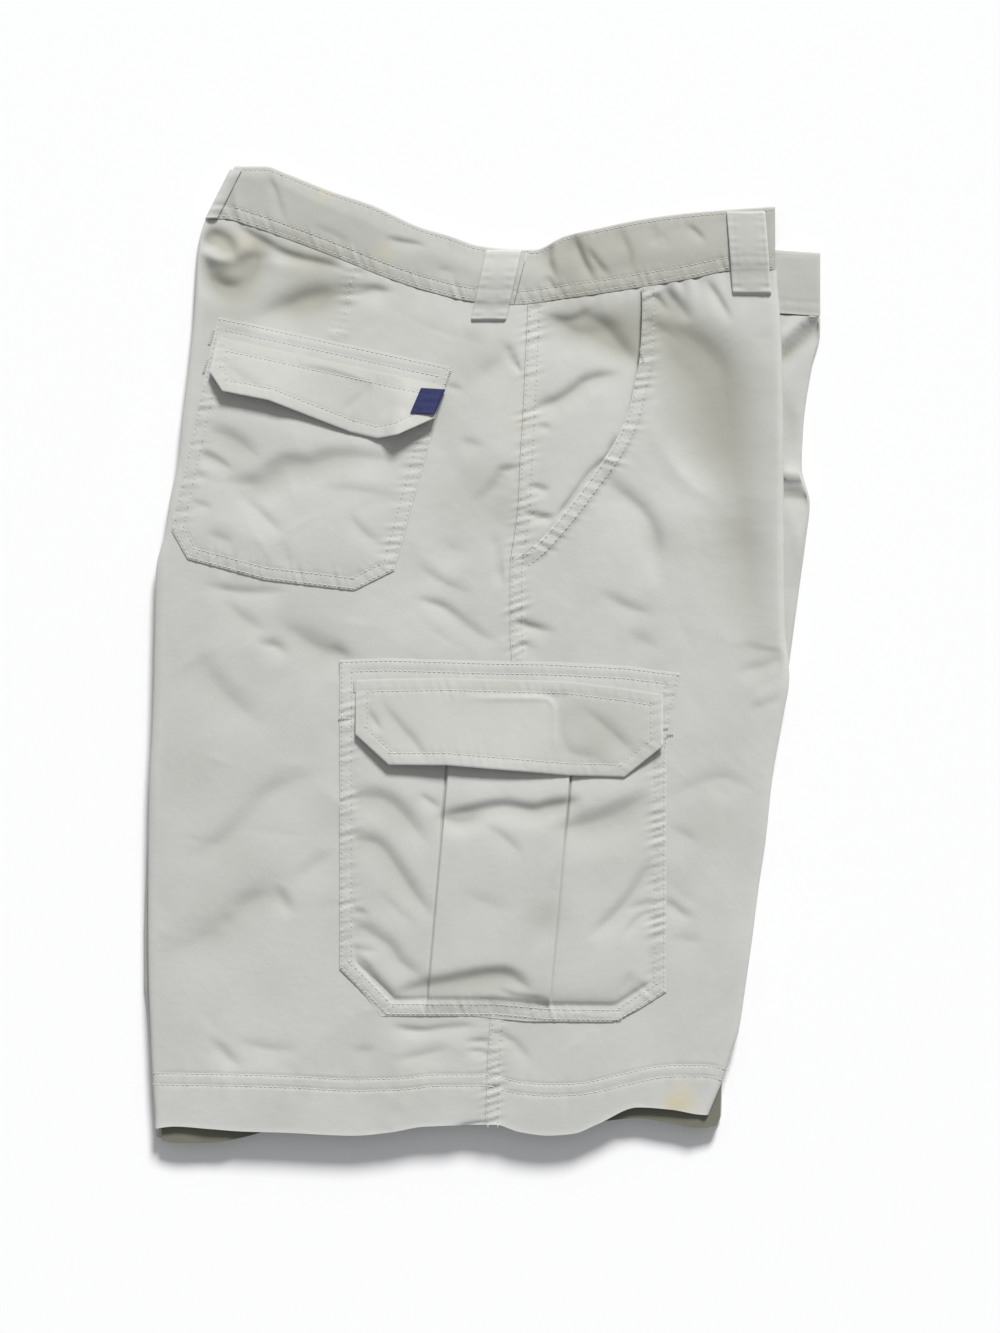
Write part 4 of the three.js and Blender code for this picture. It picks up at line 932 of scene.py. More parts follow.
def back_flap_height(x, y):
    across, down = to_pocket(BACK_POCKET, x, y)
    rise = flap_rise(down, BACK_FLAP_DROP, back_flap_lift(across))
    edge = sewn_edge(*inside(back_flap_path, x, y), 81, 0.22, FLAP_ROWS)
    return leg_form(x, y) + rise + folds_at(BACK_FLAP_FOLDS, x, y) + edge


def cargo_flap_height(x, y):
    across, down = to_pocket(CARGO_POCKET, x, y)
    rise = flap_rise(down, CARGO_FLAP_DROP, cargo_flap_lift(across))
    pleat = pleat_rise(across, down, 40)
    edge = sewn_edge(*inside(cargo_flap_path, x, y), 91, 0.28, FLAP_ROWS)
    shape = folds_at(CARGO_FLAP_FOLDS, x, y) + imprint(x, y)
    return cargo_base(x, y) + rise + pleat + shape + edge


def imprint(x, y):
    """Rounded outline that the fastening strip under the flap presses through the cloth."""
    low, high, corner = STRIP["low"], STRIP["high"], STRIP["corner"]
    middle, half = (np.add(low, high)) / 2, np.subtract(high, low) / 2 - corner
    dx, dy = np.abs(x - middle[0]) - half[0], np.abs(y - middle[1]) - half[1]
    away = np.hypot(np.maximum(dx, 0), np.maximum(dy, 0)) + np.minimum(np.maximum(dx, dy), 0) - corner
    clear = step(x, low[0], low[0] + 30) * step(y, -66, -52)
    return (0.6 * near(away, 1.6) + 0.1 * step(-away, 0, 2)) * clear


# Meshes

def graded(length, coarse, spots=(), fine=0.7):
    """Places from 0 to a length, closer together about the given spots (place, half width)."""
    places = [0.0]
    while places[-1] < length:
        here = places[-1]
        close = any(abs(here - spot) < reach for spot, reach in spots)
        places.append(here + (fine if close else coarse))
    return np.array(places) * (length / places[-1])


def shares(length, coarse, spots=(), fine=0.7):
    """The same places as shares of the length."""
    return graded(length, coarse, spots, fine) / length


def surface(x, y, z):
    """A grid of points."""
    return np.stack([x, y, z], axis=2)


def linked(name, data):
    """A new object in the scene."""
    thing = bpy.data.objects.new(name, data)
    bpy.context.collection.objects.link(thing)
    return thing


def write_mesh(name, points, quads, uv, material, marks):
    """One mesh object, in metres, with its cloth coordinates, its lightening and darkening (from use, and
    painted light and shade), its stains and its puckers.
    """
    mesh = bpy.data.meshes.new(name)
    mesh.vertices.add(len(points))
    mesh.vertices.foreach_set("co", (points * MM).ravel())
    mesh.loops.add(quads.size)
    mesh.loops.foreach_set("vertex_index", quads.ravel())
    mesh.polygons.add(len(quads))
    mesh.polygons.foreach_set("loop_start", np.arange(0, quads.size, quads.shape[1]))
    mesh.update(calc_edges=True)
    layer = mesh.uv_layers.new(name="cloth")
    layer.data.foreach_set("uv", (uv[quads.ravel()] / 100).ravel())
    for label in ("wear", "stain", "seam"):
        attribute = mesh.attributes.new(label, "FLOAT", "POINT")
        attribute.data.foreach_set("value", marks.get(label, np.zeros(len(points))))
    mesh.polygons.foreach_set("use_smooth", np.ones(len(quads), dtype=bool))
    mesh.set_sharp_from_angle(angle=np.radians(55))
    mesh.materials.append(material)
    return linked(name, mesh)


def grid_quads(rows, columns, start=0, turned=False, wrapped=False):
    """The faces of a grid of points."""
    index = start + np.arange(rows * columns).reshape(rows, columns)
    if wrapped:
        index = np.concatenate([index, index[:, :1]], axis=1)
    a, b, c, d = index[:-1, :-1], index[1:, :-1], index[1:, 1:], index[:-1, 1:]
    corners = (a, d, c, b) if turned else (a, b, c, d)
    return np.stack([corner.ravel() for corner in corners], axis=1)


def normals(points, wrapped):
    """Unit normals of a grid of points."""
    down = np.gradient(points, axis=0)
    if wrapped:
        across = np.roll(points, -1, axis=1) - np.roll(points, 1, axis=1)
    else:
        across = np.gradient(points, axis=1)
    normal = np.cross(down, across)
    return normal / np.maximum(np.linalg.norm(normal, axis=2, keepdims=True), 1e-9)


def shell(name, points, cloth, material, uv=None, wrapped=False, **marks):
    """A thin closed shell: an outer grid of points, and an inner one the cloth's thickness behind it.
    Neither goes below the surface that the shorts lie on."""
    rows, columns, _ = points.shape
    count = rows * columns
    inner = points - normals(points, wrapped) * cloth
    for face in (points, inner):
        face[:, :, 2] = np.maximum(face[:, :, 2], 0)
    index = np.arange(count).reshape(rows, columns)
    if wrapped:
        ring = np.concatenate([index, index[:, :1]], axis=1)
        rims = [ring[-1], ring[0][::-1]]
    else:
        rims = [np.concatenate([index[:-1, 0], index[-1, :-1], index[:0:-1, -1], index[0, ::-1]])]
    rim_quads = [
        np.stack([rim[1:], rim[:-1], rim[:-1] + count, rim[1:] + count], axis=1) for rim in rims
    ]
    quads = np.concatenate([
        grid_quads(rows, columns, 0, False, wrapped),
        grid_quads(rows, columns, count, True, wrapped),
        *rim_quads,
    ])
    flat = points[:, :, :2] if uv is None else uv
    both = {label: np.tile(values.ravel(), 2) for label, values in marks.items()}
    return write_mesh(
        name,
        np.concatenate([points.reshape(-1, 3), inner.reshape(-1, 3)]),
        quads,
        np.tile(flat.reshape(-1, 2), (2, 1)),
        material,
        both,
    )


# Materials

def add(nodes, kind, **settings):
    node = nodes.new(kind)
    for key, value in settings.items():
        setattr(node, key, value)
    return node


def set_inputs(node, values):
    for key, value in values.items():
        node.inputs[key].default_value = value


def new_material(name, look):
    material = bpy.data.materials.new(name)
    material.use_nodes = True
    shader = material.node_tree.nodes["Principled BSDF"]
    set_inputs(shader, look)
    return material, material.node_tree, shader


def shade_by(tree, colour, factor, target, low, high):
    """Mixes a colour towards a target by a factor that is mapped from low to high onto 0 to 1."""
    ramp = add(tree.nodes, "ShaderNodeMapRange")
    set_inputs(ramp, {"From Min": low, "From Max": high})
    tree.links.new(factor, ramp.inputs["Value"])
    blend = add(tree.nodes, "ShaderNodeMix", data_type="RGBA")
    blend.inputs["B"].default_value = (*target, 1)
    tree.links.new(ramp.outputs["Result"], blend.inputs["Factor"])
    if isinstance(colour, tuple):
        blend.inputs["A"].default_value = (*colour, 1)
    else:
        tree.links.new(colour, blend.inputs["A"])
    return blend.outputs["Result"]


def cloth_place(tree):
    return add(tree.nodes, "ShaderNodeUVMap", uv_map="cloth").outputs["UV"]


def mark(tree, name):
    """One of the marks that write_mesh stores at each point."""
    return add(tree.nodes, "ShaderNodeAttribute", attribute_name=name).outputs["Fac"]


def noise(tree, place, scale, detail, rough=0.5, stretch=(1, 1, 1)):
    mapping = add(tree.nodes, "ShaderNodeMapping")
    set_inputs(mapping, {"Scale": stretch})
    tree.links.new(place, mapping.inputs["Vector"])
    node = add(tree.nodes, "ShaderNodeTexNoise")
    set_inputs(node, {"Scale": scale, "Detail": detail, "Roughness": rough})
    tree.links.new(mapping.outputs["Vector"], node.inputs["Vector"])
    return node.outputs["Fac"]


def bump(tree, height, strength, distance, under=None):
    """A bump on top of another one. Its strength is a number or comes from a mark."""
    node = add(tree.nodes, "ShaderNodeBump")
    set_inputs(node, {"Distance": distance})
    if isinstance(strength, float):
        set_inputs(node, {"Strength": strength})
    else:
        tree.links.new(strength, node.inputs["Strength"])
    tree.links.new(height, node.inputs["Height"])
    if under is not None:
        tree.links.new(under, node.inputs["Normal"])
    return node.outputs["Normal"]


def twill(name, base, shadow, light, stained, deep):
    """Washed cotton twill: fine diagonal ribs, soft mottling, slubs, edges lightened by use, painted light
    and shade, and faint stains.
    """
    material, tree, shader = new_material(name, CLOTH_LOOK)
    place = cloth_place(tree)
    wear = mark(tree, "wear")
    colour = shade_by(tree, base, noise(tree, place, 2.2, 4, 0.55), shadow, 0.62, 0.28)
    colour = shade_by(tree, colour, noise(tree, place, 26, 3, 0.6, (1, 0.35, 1)), light, 0.6, 1.3)
    colour = shade_by(tree, colour, noise(tree, place, 140, 2, 0.6), shadow, 0.55, 0.1)
    # Positive marks lighten the cloth, for use and painted light; negative ones darken it towards deep, for
    # painted shade and the other darkening.
    colour = shade_by(tree, colour, wear, light, 0, 1.4)
    colour = shade_by(tree, colour, wear, deep, 0, -1)
    colour = shade_by(tree, colour, mark(tree, "stain"), stained, 0, 1)
    tree.links.new(colour, shader.inputs["Base Color"])
    ribs = add(tree.nodes, "ShaderNodeTexWave", wave_type="BANDS", bands_direction="DIAGONAL")
    set_inputs(ribs, RIBS)
    tree.links.new(place, ribs.inputs["Vector"])
    weave = bump(tree, ribs.outputs["Fac"], 0.3, WEAVE_DEPTH)
    crumple = bump(tree, noise(tree, place, 9, 5, 0.6), 0.5, CRUMPLE_DEPTH, weave)
    pucker = bump(tree, noise(tree, place, 27, 2, 0.5), mark(tree, "seam"), PUCKER_DEPTH, crumple)
    tree.links.new(pucker, shader.inputs["Normal"])
    return material


def plain(name, colour, dark, rough, scale):
    """A matt thread or tape with a fine twist."""
    material, tree, shader = new_material(name, {"Roughness": rough, "Specular IOR Level": 0.2})
    twist = noise(tree, cloth_place(tree), scale, 3, 0.6)
    tree.links.new(shade_by(tree, colour, twist, dark, 0.6, 0.2), shader.inputs["Base Color"])
    tree.links.new(bump(tree, twist, 0.4, TWIST_DEPTH), shader.inputs["Normal"])
    return material


stone = twill(
    "stone_twill", base=(0.55, 0.555, 0.528), shadow=(0.50, 0.505, 0.47), light=(0.61, 0.615, 0.59),
    stained=(0.58, 0.53, 0.36), deep=(0.36, 0.357, 0.31),
)
# The leg's inside, seen in the hem's opening, is painted near black: partly the duller back of the twill,
# mostly painted shade for the shadow under the upper layer
wrong_side_painted_shade = twill(
    "wrong_side_twill", base=(0.18, 0.18, 0.14), shadow=(0.14, 0.14, 0.11), light=(0.22, 0.22, 0.18),
    stained=(0.22, 0.20, 0.12), deep=(0.10, 0.10, 0.08),
)
thread = plain("thread", (0.60, 0.60, 0.57), (0.48, 0.48, 0.44), 0.8, 300)
navy = plain("navy_tape", (0.022, 0.026, 0.095), (0.010, 0.012, 0.05), 0.7, 160)


# Pieces of the upper leg


def spots_at(spots, x, y):
    """Sum of a table's soft round spots."""
    rows = zip(spots["x"], spots["y"], spots["radius"], spots["strength"])
    return sum(strength * near(np.hypot(x - cx, y - cy), radius) for cx, cy, radius, strength in rows)


def stains_at(x, y):
    return np.clip(spots_at(STAINS, x, y), 0, 1)


def leg_places(edges, downs):
    """Points of the leg where each edge function crosses each share down."""
    x = np.stack([edge(0.0 * downs) for edge in edges], axis=1)
    y = 0 * x
    for _ in range(SETTLING):
        y = mix(waist_seam(x) - WAIST_GAP, hem_outer(x), downs[:, None])
        x = np.stack([edge(y[:, j]) for j, edge in enumerate(edges)], axis=1)
    return x, y


def leg_downs():
    """Finer about the hem's two rows and at the hem's end."""
    return shares(LEG_RUN, 1.4, [(500, 5), (508, 4), (LEG_RUN - 1, 3)], 0.8)


def round_edge(x, y, centre, side, radius, turns):
    """Columns of points that go round a folded edge."""
    return [
        np.stack([x + side * radius * (1 - np.cos(a)), y, centre + radius * np.sin(a)], axis=1)
        for a in turns
    ]


def fold_under(x, y, side):
    """Places of a folded side edge, from its lap underneath round to where the top starts."""
    radius = fold_radius(down_leg(x, y))
    centre = full_height(x, y) - radius
    lap = [np.stack([x + side * (radius + FOLD_LAP), y, centre - radius], axis=1)]
    return lap + round_edge(x, y, centre, side, radius, FOLD_TURN)


def painted_fold_shade(folds, x, y):
    """Painted shade: how deep in a fold a point lies, which darkens the cloth there a little."""
    return 0.1 * np.minimum(folds_at(folds, x, y), 0)


# Painted light and shade, from the table of spots
def painted_light_and_shade_at(x, y):
    return spots_at(PAINTED_LIGHT_AND_SHADE, x, y)


def leg_marks(x, y):
    # Lighter along the hem's edge, with the painted light and shade spots laid over the whole leg
    hem = near(hem_outer(x) - y, 2.5) + painted_light_and_shade_at(x, y)
    edges = 0.5 * near(edge_distance(x, y), 4)
    rows = near(off_path(side_seam_path, x, y) - PUCKER_MIDDLE, PUCKER_REACH)
    rows = rows + near(off_path(mouth_path, x, y) - PUCKER_MIDDLE, PUCKER_REACH) * (x > side_seam(y))
    rows = rows + 0.7 * near(off_path(DART, x, y), 4) + 0.35 * near(off_path(waist_path, x, y), 6)
    hem_rows = 0.3 * near(hem_stitch(x) - y - 4, 6)
    # Lighter folded edges, plus painted shade in the leg's folds
    wear = hem + edges + painted_fold_shade(LEG_FOLDS, x, y)
    return dict(wear=wear, stain=stains_at(x, y), seam=np.minimum(rows + hem_rows, 1))


def leg_panel(name, widths, start, end, height, folded):
    """A panel between two edges, folded under along the outer one, with its turned hem."""
    downs = leg_downs()
    places = [lambda y, share=share: mix(start(y), end(y), share) for share in widths]
    x, y = leg_places(places, downs)
    top = surface(x, y, height(x, y))
    at_back = folded == "back"
    edge_x, edge_y = leg_places([back_edge if at_back else front_edge], downs)
    turned = np.stack(fold_under(edge_x[:, 0], edge_y[:, 0], 1 if at_back else -1), axis=1)
    points = np.concatenate([turned, top] if at_back else [top, turned[:, ::-1]], axis=1)
    return shell(name, points, CLOTH, stone, **leg_marks(points[:, :, 0], points[:, :, 1]))


def back_panel():
    widths = shares(BACK_RUN, 2.5, [(BACK_RUN, 6)], 1.0)
    return leg_panel(
        "back_leg", widths, lambda y: back_edge(y) + fold_radius(down_leg(back_edge(y), y)),
        lambda y: side_seam(y) - SEAM_GAP, leg_height, "back",
    )


def front_panel():
    widths = shares(FRONT_RUN, 2.3, [(0, 11)], 0.9)
    return leg_panel(
        "front_leg", widths, lambda y: np.maximum(side_seam(y) + SEAM_GAP, pocket_mouth(y)),
        lambda y: front_edge(y) - fold_radius(down_leg(front_edge(y), y)), front_height, "front",
    )


def pocket_facing():
    downs = shares(FACING_RUN, 1.6)
    widths = shares(FACING_WIDTH, 1.5, [(0, 9)], 0.8)
    x = np.full((len(downs), len(widths)), 60.0)
    for _ in range(SETTLING):
        y = mix(waist_seam(x) - WAIST_GAP, FACING_END, downs[:, None])
        right = np.maximum(pocket_mouth(y) + FACING_LAP, side_seam(y) + 2)
        x = mix(side_seam(y) + 0.15, right, widths[None, :])
    marks = leg_marks(x, y)
    # The facing's folds get painted shade, half as strong again, for the shadow under the waistband
    marks["wear"] = marks["wear"] + 1.4 * painted_fold_shade(FACING_FOLDS, x, y)
    return shell("pocket_facing", surface(x, y, facing_height(x, y)), CLOTH, stone, **marks)


# Hidden layers

def lowest_near(grid):
    """Each value lowered to its lowest neighbour."""
    padded = np.pad(grid, 1, mode="edge")
    rows, columns = grid.shape
    return np.min([padded[i:i + rows, j:j + columns] for i in range(3) for j in range(3)], axis=0)


def inner_leg():
    """The inner layer of the upper leg, seen at the hem from above and from the sides."""
    downs = shares(HIDDEN_RUN, 4, [(HIDDEN_RUN, 30)], 1.5)
    widths = np.linspace(0, 1, 80)
    x = np.zeros((len(downs), len(widths)))
    for _ in range(SETTLING):
        y = mix(under_band_seam(x), hem_inner(x), downs[:, None])
        left = back_edge(y) + 4
        right = np.where(y > -245, front_edge(y), np.maximum(front_edge(y), lower_front(y) + 3)) - 4
        x = mix(left, right, widths[None, :])
    out = np.minimum(widths, 1 - widths)[None, :] * 370
    edge = full_height(x, y) - 2 * fold_radius(down_leg(x, y)) + 0.9
    behind_facing = step(y, FACING_END - 8, FACING_END) * step(pocket_mouth(y) + 2 * FACING_LAP - x, 0, 6)
    outer = leg_height(x, y) + behind_facing * (facing_height(x, y) - leg_height(x, y))
    clear = lowest_near(outer) - CLOTH - 0.5
    drop = y - hem_inner(x)
    hem = 0.8 * (1 - step(drop, 30, 33)) + 0.4 * ripple(x, 101, INNER_HEM_WAVES) * near(drop, 25)
    z = np.minimum(mix(edge, cap_height(x, y), step(out, 0, 14)), clear) + hem
    return shell("inner_leg", surface(x, y, z), CLOTH, wrong_side_painted_shade)


def lower_leg():
    """The lower leg, a flattened tube that lies on the surface and shows beside the upper one."""
    downs = shares(HIDDEN_RUN, 3.2, [(HIDDEN_RUN, 6)], 1.2)
    bottom = np.linspace(0, 1, 34)
    upper = 1 - shares(400, 8, [(0, 40)], 2.2)
    turns = np.radians(np.linspace(-90, 90, 9)[1:-1])
    kinds = [(s, -1, 0) for s in bottom] + [(1, 0, a) for a in turns]
    kinds += [(s, 1, 0) for s in upper] + [(0, 0, a) for a in turns[::-1]]
    share = np.array([k[0] for k in kinds])[None, :]
    face = np.array([k[1] for k in kinds])[None, :]
    turn = np.array([k[2] for k in kinds])[None, :]
    x = np.zeros((len(downs), len(kinds)))
    for _ in range(SETTLING):
        y = mix(under_band_seam(x) - 0.5, hem_inner(x) + 1.2, downs[:, None])
        radius = LOWER_SHARE * stack_height(x, y) / 2
        out = np.where(face == 0, radius * np.cos(turn), 0)
        x = mix(lower_back(y) + radius, lower_front(y) - radius, share)
        x = x + out * np.where(share > 0.5, 1, -1)
    z = radius + np.where(face == 0, radius * np.sin(turn), radius * face)
    on_top = (face > 0) * step(x - front_edge(y), -5, 3)
    details = folds_at(SLIVER_FOLDS, x, y) + undulation(x, y, 17)
    z = z + on_top * softly(details, 3)
    points = surface(x, y, z)[:, ::-1]
    px, py = points[:, :, 0], points[:, :, 1]
    # The sliver's folds are darkened twice as strongly with painted shade
    return shell("lower_leg", points, CLOTH, stone, wrapped=True, wear=2 * painted_fold_shade(SLIVER_FOLDS, px, py))


# Waistbands and loops

def lower_waistband():
    radius = (2 * UNDER_BAND_CLOTH + 0.5) / 2
    start = BACK_END[0] + 4
    flat = np.linspace(start, SIDE - radius, 90)
    turn = np.radians(np.linspace(-90, 90, 11))[1:]
    back = np.linspace(SIDE - radius, UNDER_BAND_RETURN, 34)[1:]
    px = np.concatenate([flat, SIDE - radius + radius * np.cos(turn), back])
    pz = np.concatenate([0 * flat, radius + radius * np.sin(turn), 0 * back + 2 * radius])
    ups = shares(40, 1.3)[:, None]
    lean = (BACK_END[1] - BACK_END[0]) * ups * np.clip(1 - (px - start) / (SIDE - start), 0, 1)
    x = px + lean
    y = mix(under_band_seam(px) + 0.4, under_band_top(x), ups)
    above = y - under_band_seam(px)
    below = under_band_top(x) - y
    on_top = (pz > radius)[None, :]
    rows = band_rows(above, below)
    waves = 0.35 * ripple(px, 111) * near(above - 5, 6) + undulation(x, y, 19, 0.5)
    z = pz + on_top * (waves - GROOVE * rows - 0.8 * fading(below, 0.7))
    return shell("lower_waistband", surface(x, y, z), UNDER_BAND_CLOTH, stone, wear=0 * x - 0.3)


def band_piece(name, start, end, folded):
    """Half of the upper waistband between two lines that run from its seam to its top edge."""
    ups = shares(BAND_RUN, 1.1, [(0, 10), (BAND_RUN, 4)], 0.6)
    widths = shares(end[0] - start[0], 1.4)
    seam_x = mix(start[0], end[0], widths)[None, :]
    top_x = mix(start[1], end[1], widths)[None, :]
    up = ups[::-1][:, None]
    x = mix(seam_x, top_x, up)
    y = mix(waist_seam(seam_x) + WAIST_GAP, waist_top(top_x), up)
    points = surface(x, y, band_height(x, y))
    if folded:
        edge_x, edge_y = points[:, 0, 0], points[:, 0, 1]
        centre = band_height(edge_x + BAND_FOLD, edge_y) - BAND_FOLD
        turned = round_edge(edge_x, edge_y, centre, 1, BAND_FOLD, BAND_TURN)
        points = np.concatenate([np.stack(turned, axis=1), points[:, 2:]], axis=1)
    x, y = points[:, :, 0], points[:, :, 1]
    above = y - waist_seam(x)
    # The band is painted darker, least near x = -10 and most towards its front, as painted shade; its top
    # edge is lighter from use, and its folds and spots get painted light and shade
    painted_band_shade = 0.15 * near(x + 10, 45) - 0.3 * step(x, 20, 60) - 0.38
    wear_and_shade_marks = painted_band_shade + 0.3 * near(waist_top(x) - y, 1.5) + painted_fold_shade(BAND_FOLDS, x, y) + painted_light_and_shade_at(x, y)
    rows = mix(0.5, 0.9, step(x, 0, 40)) * near(above - 5.4, 5)
    return shell(name, points, BAND_CLOTH, stone, wear=wear_and_shade_marks, stain=stains_at(x, y), seam=rows)


def belt_loop(name, top, bottom, width, darkening):
    """A flat strip that arches a little over the waistband, with its ends turned under."""
    rows = shares(LOOP_RUN, 1.0, [(0, 4), (LOOP_RUN, 4)], 0.5)
    columns = shares(width, 1.0, [(0, 2), (width, 2)], 0.5)
    down, across = rows[:, None], columns[None, :]
    x = mix(top[0], bottom[0], down) + across * width
    y = mix(top[1], bottom[1], down) + 0 * across
    base = mix(leg_height(x, y), band_height(x, y), step(y - waist_seam(x), -9, 0))
    base = mix(base.mean(axis=1, keepdims=True), base, 0.3)
    arch = 1.1 * np.sin(np.pi * down)
    side = np.minimum(across, 1 - across) * width
    rows_sunk = GROOVE * near(side - 3.4, 0.9)
    to_end = (1 - down) * LOOP_RUN
    edges = 0.7 * fading(side, 0.5) + 1.6 * near(to_end, 0.7) + 1.0 * near(down * LOOP_RUN, 0.8)
    waves = 0.35 * ripple(y, 121 + int(top[0])) * near(side - 3, 4)
    z = base + LIE_GAP + LOOP_CLOTH + arch - edges - rows_sunk + waves
    wear_and_shade_marks = 0.4 * near(side, 1.2) + 0.4 * near(to_end, 1.5) - darkening
    return shell(name, surface(x, y, z), LOOP_CLOTH, stone, wear=wear_and_shade_marks)


def back_loop():
    """The loop at the centre back, which goes round the folded edge."""
    ups = shares(30, 1.0)
    down = mix(0.93, 0.04, ups)[:, None]
    y = mix(BACK_END[2], TOP, down)
    edge = mix(BACK_END[0], BACK_END[1], down)
    centre = band_height(edge + BAND_FOLD, y) - BAND_FOLD
    reach = BAND_FOLD + LIE_GAP + LOOP_CLOTH
    turns = np.radians(np.linspace(180, 90, 10))[None, :]
    turn_x = edge + BAND_FOLD + reach * np.cos(turns)
    turn_z = centre + reach * np.sin(turns)
    low_x = np.repeat(edge + BAND_FOLD - reach, 2, axis=1)
    low_z = np.repeat(np.array([[0.5, 1.6]]), len(ups), axis=0)
    lap = np.array([[2.0, 3.6]])
    lap_x = edge + BAND_FOLD + lap
    lap_z = np.repeat(centre + reach, 2, axis=1) - np.array([[0.0, 0.5]])
    x = np.concatenate([low_x, turn_x, lap_x], axis=1)
    z = np.concatenate([low_z, turn_z, lap_z], axis=1)
    points = surface(x, y + 0 * x, z)
    return shell("loop_centre_back", points, LOOP_CLOTH, stone)


# Pockets and flaps

def patch(name, pocket, outline, path, height, spacing, folds, widen=no_ear, spots=(), puckered=1.0,
          darkening=0, imprint_highlight=0):
    """A pocket or flap over a grid between the columns of its outline."""
    low, high = outline["across"][0], outline["across"][-1]
    span = high - low
    across = low + graded(span, spacing, [(0, 3), (span, 3), *[(s - low, r) for s, r in spots]], 0.6)
    top = np.interp(across, outline["across"], outline["top"])
    bottom = np.interp(across, outline["across"], outline["bottom"])
    length = (outline["bottom"] - outline["top"]).max()
    downs = shares(length, spacing, [(0, 3), (length, 3)], 0.6)[:, None]
    down = mix(top[None, :], bottom[None, :], downs)
    x, y = place(pocket, across[None, :] + 0 * down, down, widen)
    depth, _ = inside(path, x, y)
    points = surface(x, y, height(x, y))
    local = np.stack([across[None, :] + 0 * down, -down], axis=2)
    # Lighter along the rim from use, a painted shadow line along the sewn top edge, painted shade in the
    # folds, and the darkening given, which on the flaps is painted shade that takes back the light their
    # slope catches
    wear = 0.4 * near(depth, 1.2) - 0.8 * near(down - top[None, :], 1.2) + painted_fold_shade(folds, x, y) - darkening
    wear = wear + painted_light_and_shade_at(x, y)
    if spots:
        # Painted shade in the pleat's two gaps
        wear = wear - 0.7 * pleat_gap(*to_pocket(pocket, x, y))
    if imprint_highlight:
        # A painted highlight along the strip's imprint
        wear = wear + imprint_highlight * imprint(x, y)
    seam = puckered * near(depth - 5, 5) * step(down, 4, 30)
    return shell(name, points, CLOTH, stone, uv=local, wear=wear, stain=stains_at(x, y), seam=seam)


def leaning(across, down):
    """Columns of the cargo pocket lean with its pleat, and its ear reaches out."""
    strength = step(across, 10, PLEAT_LEFT) * (1 - step(across, PLEAT_RIGHT, CARGO_POCKET["width"] - 8))
    return ear(across, down) + strength * pleat_lean(down)


def tab_label():
    """A short navy tape folded over the edge of the back flap."""
    rows = shares(TAB_LENGTH, 0.8)[:, None]
    columns = shares(TAB_WIDTH, 0.8)[None, :]
    slanted = columns - 0.2 * (rows - 0.3)
    across = TAB_START + TAB_WIDTH * slanted
    down = TAB_TOP + TAB_LENGTH * rows - TAB_SKEW * columns
    x, y = from_pocket(BACK_POCKET, across, down)
    side = np.minimum(columns, 1 - columns) * TAB_WIDTH + 0 * rows
    curl = 0.9 * step(columns, 0.5, 1) * rows - 0.5 * fading(side, 0.5)
    z = back_flap_height(x, y) + LIE_GAP + TAB_CLOTH + curl
    return shell("navy_tab", surface(x, y, z), TAB_CLOTH, navy)


# Stitching

def resample(path, pitch):
    """Evenly spaced places along a path, and the direction at each."""
    points = np.array(path)
    lengths = np.concatenate([[0], np.cumsum(np.hypot(*np.diff(points, axis=0).T))])

    def at(runs):
        return np.array([np.interp(runs, lengths, column) for column in points.T])

    count = max(int(lengths[-1] / pitch), 1)
    runs = (np.arange(count) + 0.5) * lengths[-1] / count
    ahead = at(runs + 0.5) - at(runs - 0.5)
    return (*at(runs), *(ahead / np.hypot(*ahead)))


def stitch_row(path, offset, height, closed_path=None, pitch=STITCH_PITCH):
    """Middles and directions of the stitches of one row, beside a path and on a surface."""
    x, y, dx, dy = resample(path, pitch)
    x, y = x - dy * offset, y + dx * offset
    if closed_path is not None:
        depth, _ = inside(closed_path, x, y)
        keep = depth > 0.75 * offset
        x, y, dx, dy = x[keep], y[keep], dx[keep], dy[keep]
    reach = STITCH_LENGTH / 2
    z = height(x, y)
    rise = (height(x + dx * reach, y + dy * reach) - height(x - dx * reach, y - dy * reach)) / STITCH_LENGTH
    return np.stack([x, y, z, dx, dy, rise], axis=1)


def stitching(name, rows, length=STITCH_LENGTH, width=STITCH_WIDTH):
    """All the stitches of a region as one mesh: each is a small spindle that lies in its groove."""
    spots = np.concatenate(rows)
    centre = spots[:, :3] + np.array([0, 0, THREAD_RISE])
    ahead = np.stack([spots[:, 3], spots[:, 4], spots[:, 5]], axis=1)
    beside = np.stack([-spots[:, 4], spots[:, 3], 0 * spots[:, 3]], axis=1)
    up = np.array([0, 0, 1.0])
    half = length / 2
    around = [beside * width / 2, up * width * 0.45, -beside * width / 2]
    corners = [centre - ahead * half - up * THREAD_DIP]
    corners += [centre + ahead * half * along + out for along in (-0.5, 0.5) for out in around]
    corners += [centre + ahead * half - up * THREAD_DIP]
    points = np.stack(corners, axis=1).reshape(-1, 3)
    faces = np.array([
        (0, 0, 2, 1), (0, 0, 3, 2), (1, 2, 5, 4), (2, 3, 6, 5), (4, 5, 7, 7), (5, 6, 7, 7),
        (1, 4, 6, 3), (0, 0, 1, 3), (4, 7, 7, 6),
    ])
    quads = (faces[None, :, :] + 8 * np.arange(len(spots))[:, None, None]).reshape(-1, 4)
    return spindles(name, points, quads)


def spindles(name, points, quads):
    """Writes faces that may have a doubled corner as triangles."""
    mesh = bpy.data.meshes.new(name)
    faces = [list(dict.fromkeys(face)) for face in quads.tolist()]
    mesh.from_pydata((points * MM).tolist(), [], faces)
    layer = mesh.uv_layers.new(name="cloth")
    corner = np.zeros(len(mesh.loops), dtype=np.int32)
    mesh.loops.foreach_get("vertex_index", corner)
    layer.data.foreach_set("uv", (points[corner, :2] / 100).ravel())
    mesh.materials.append(thread)
    return linked(name, mesh)


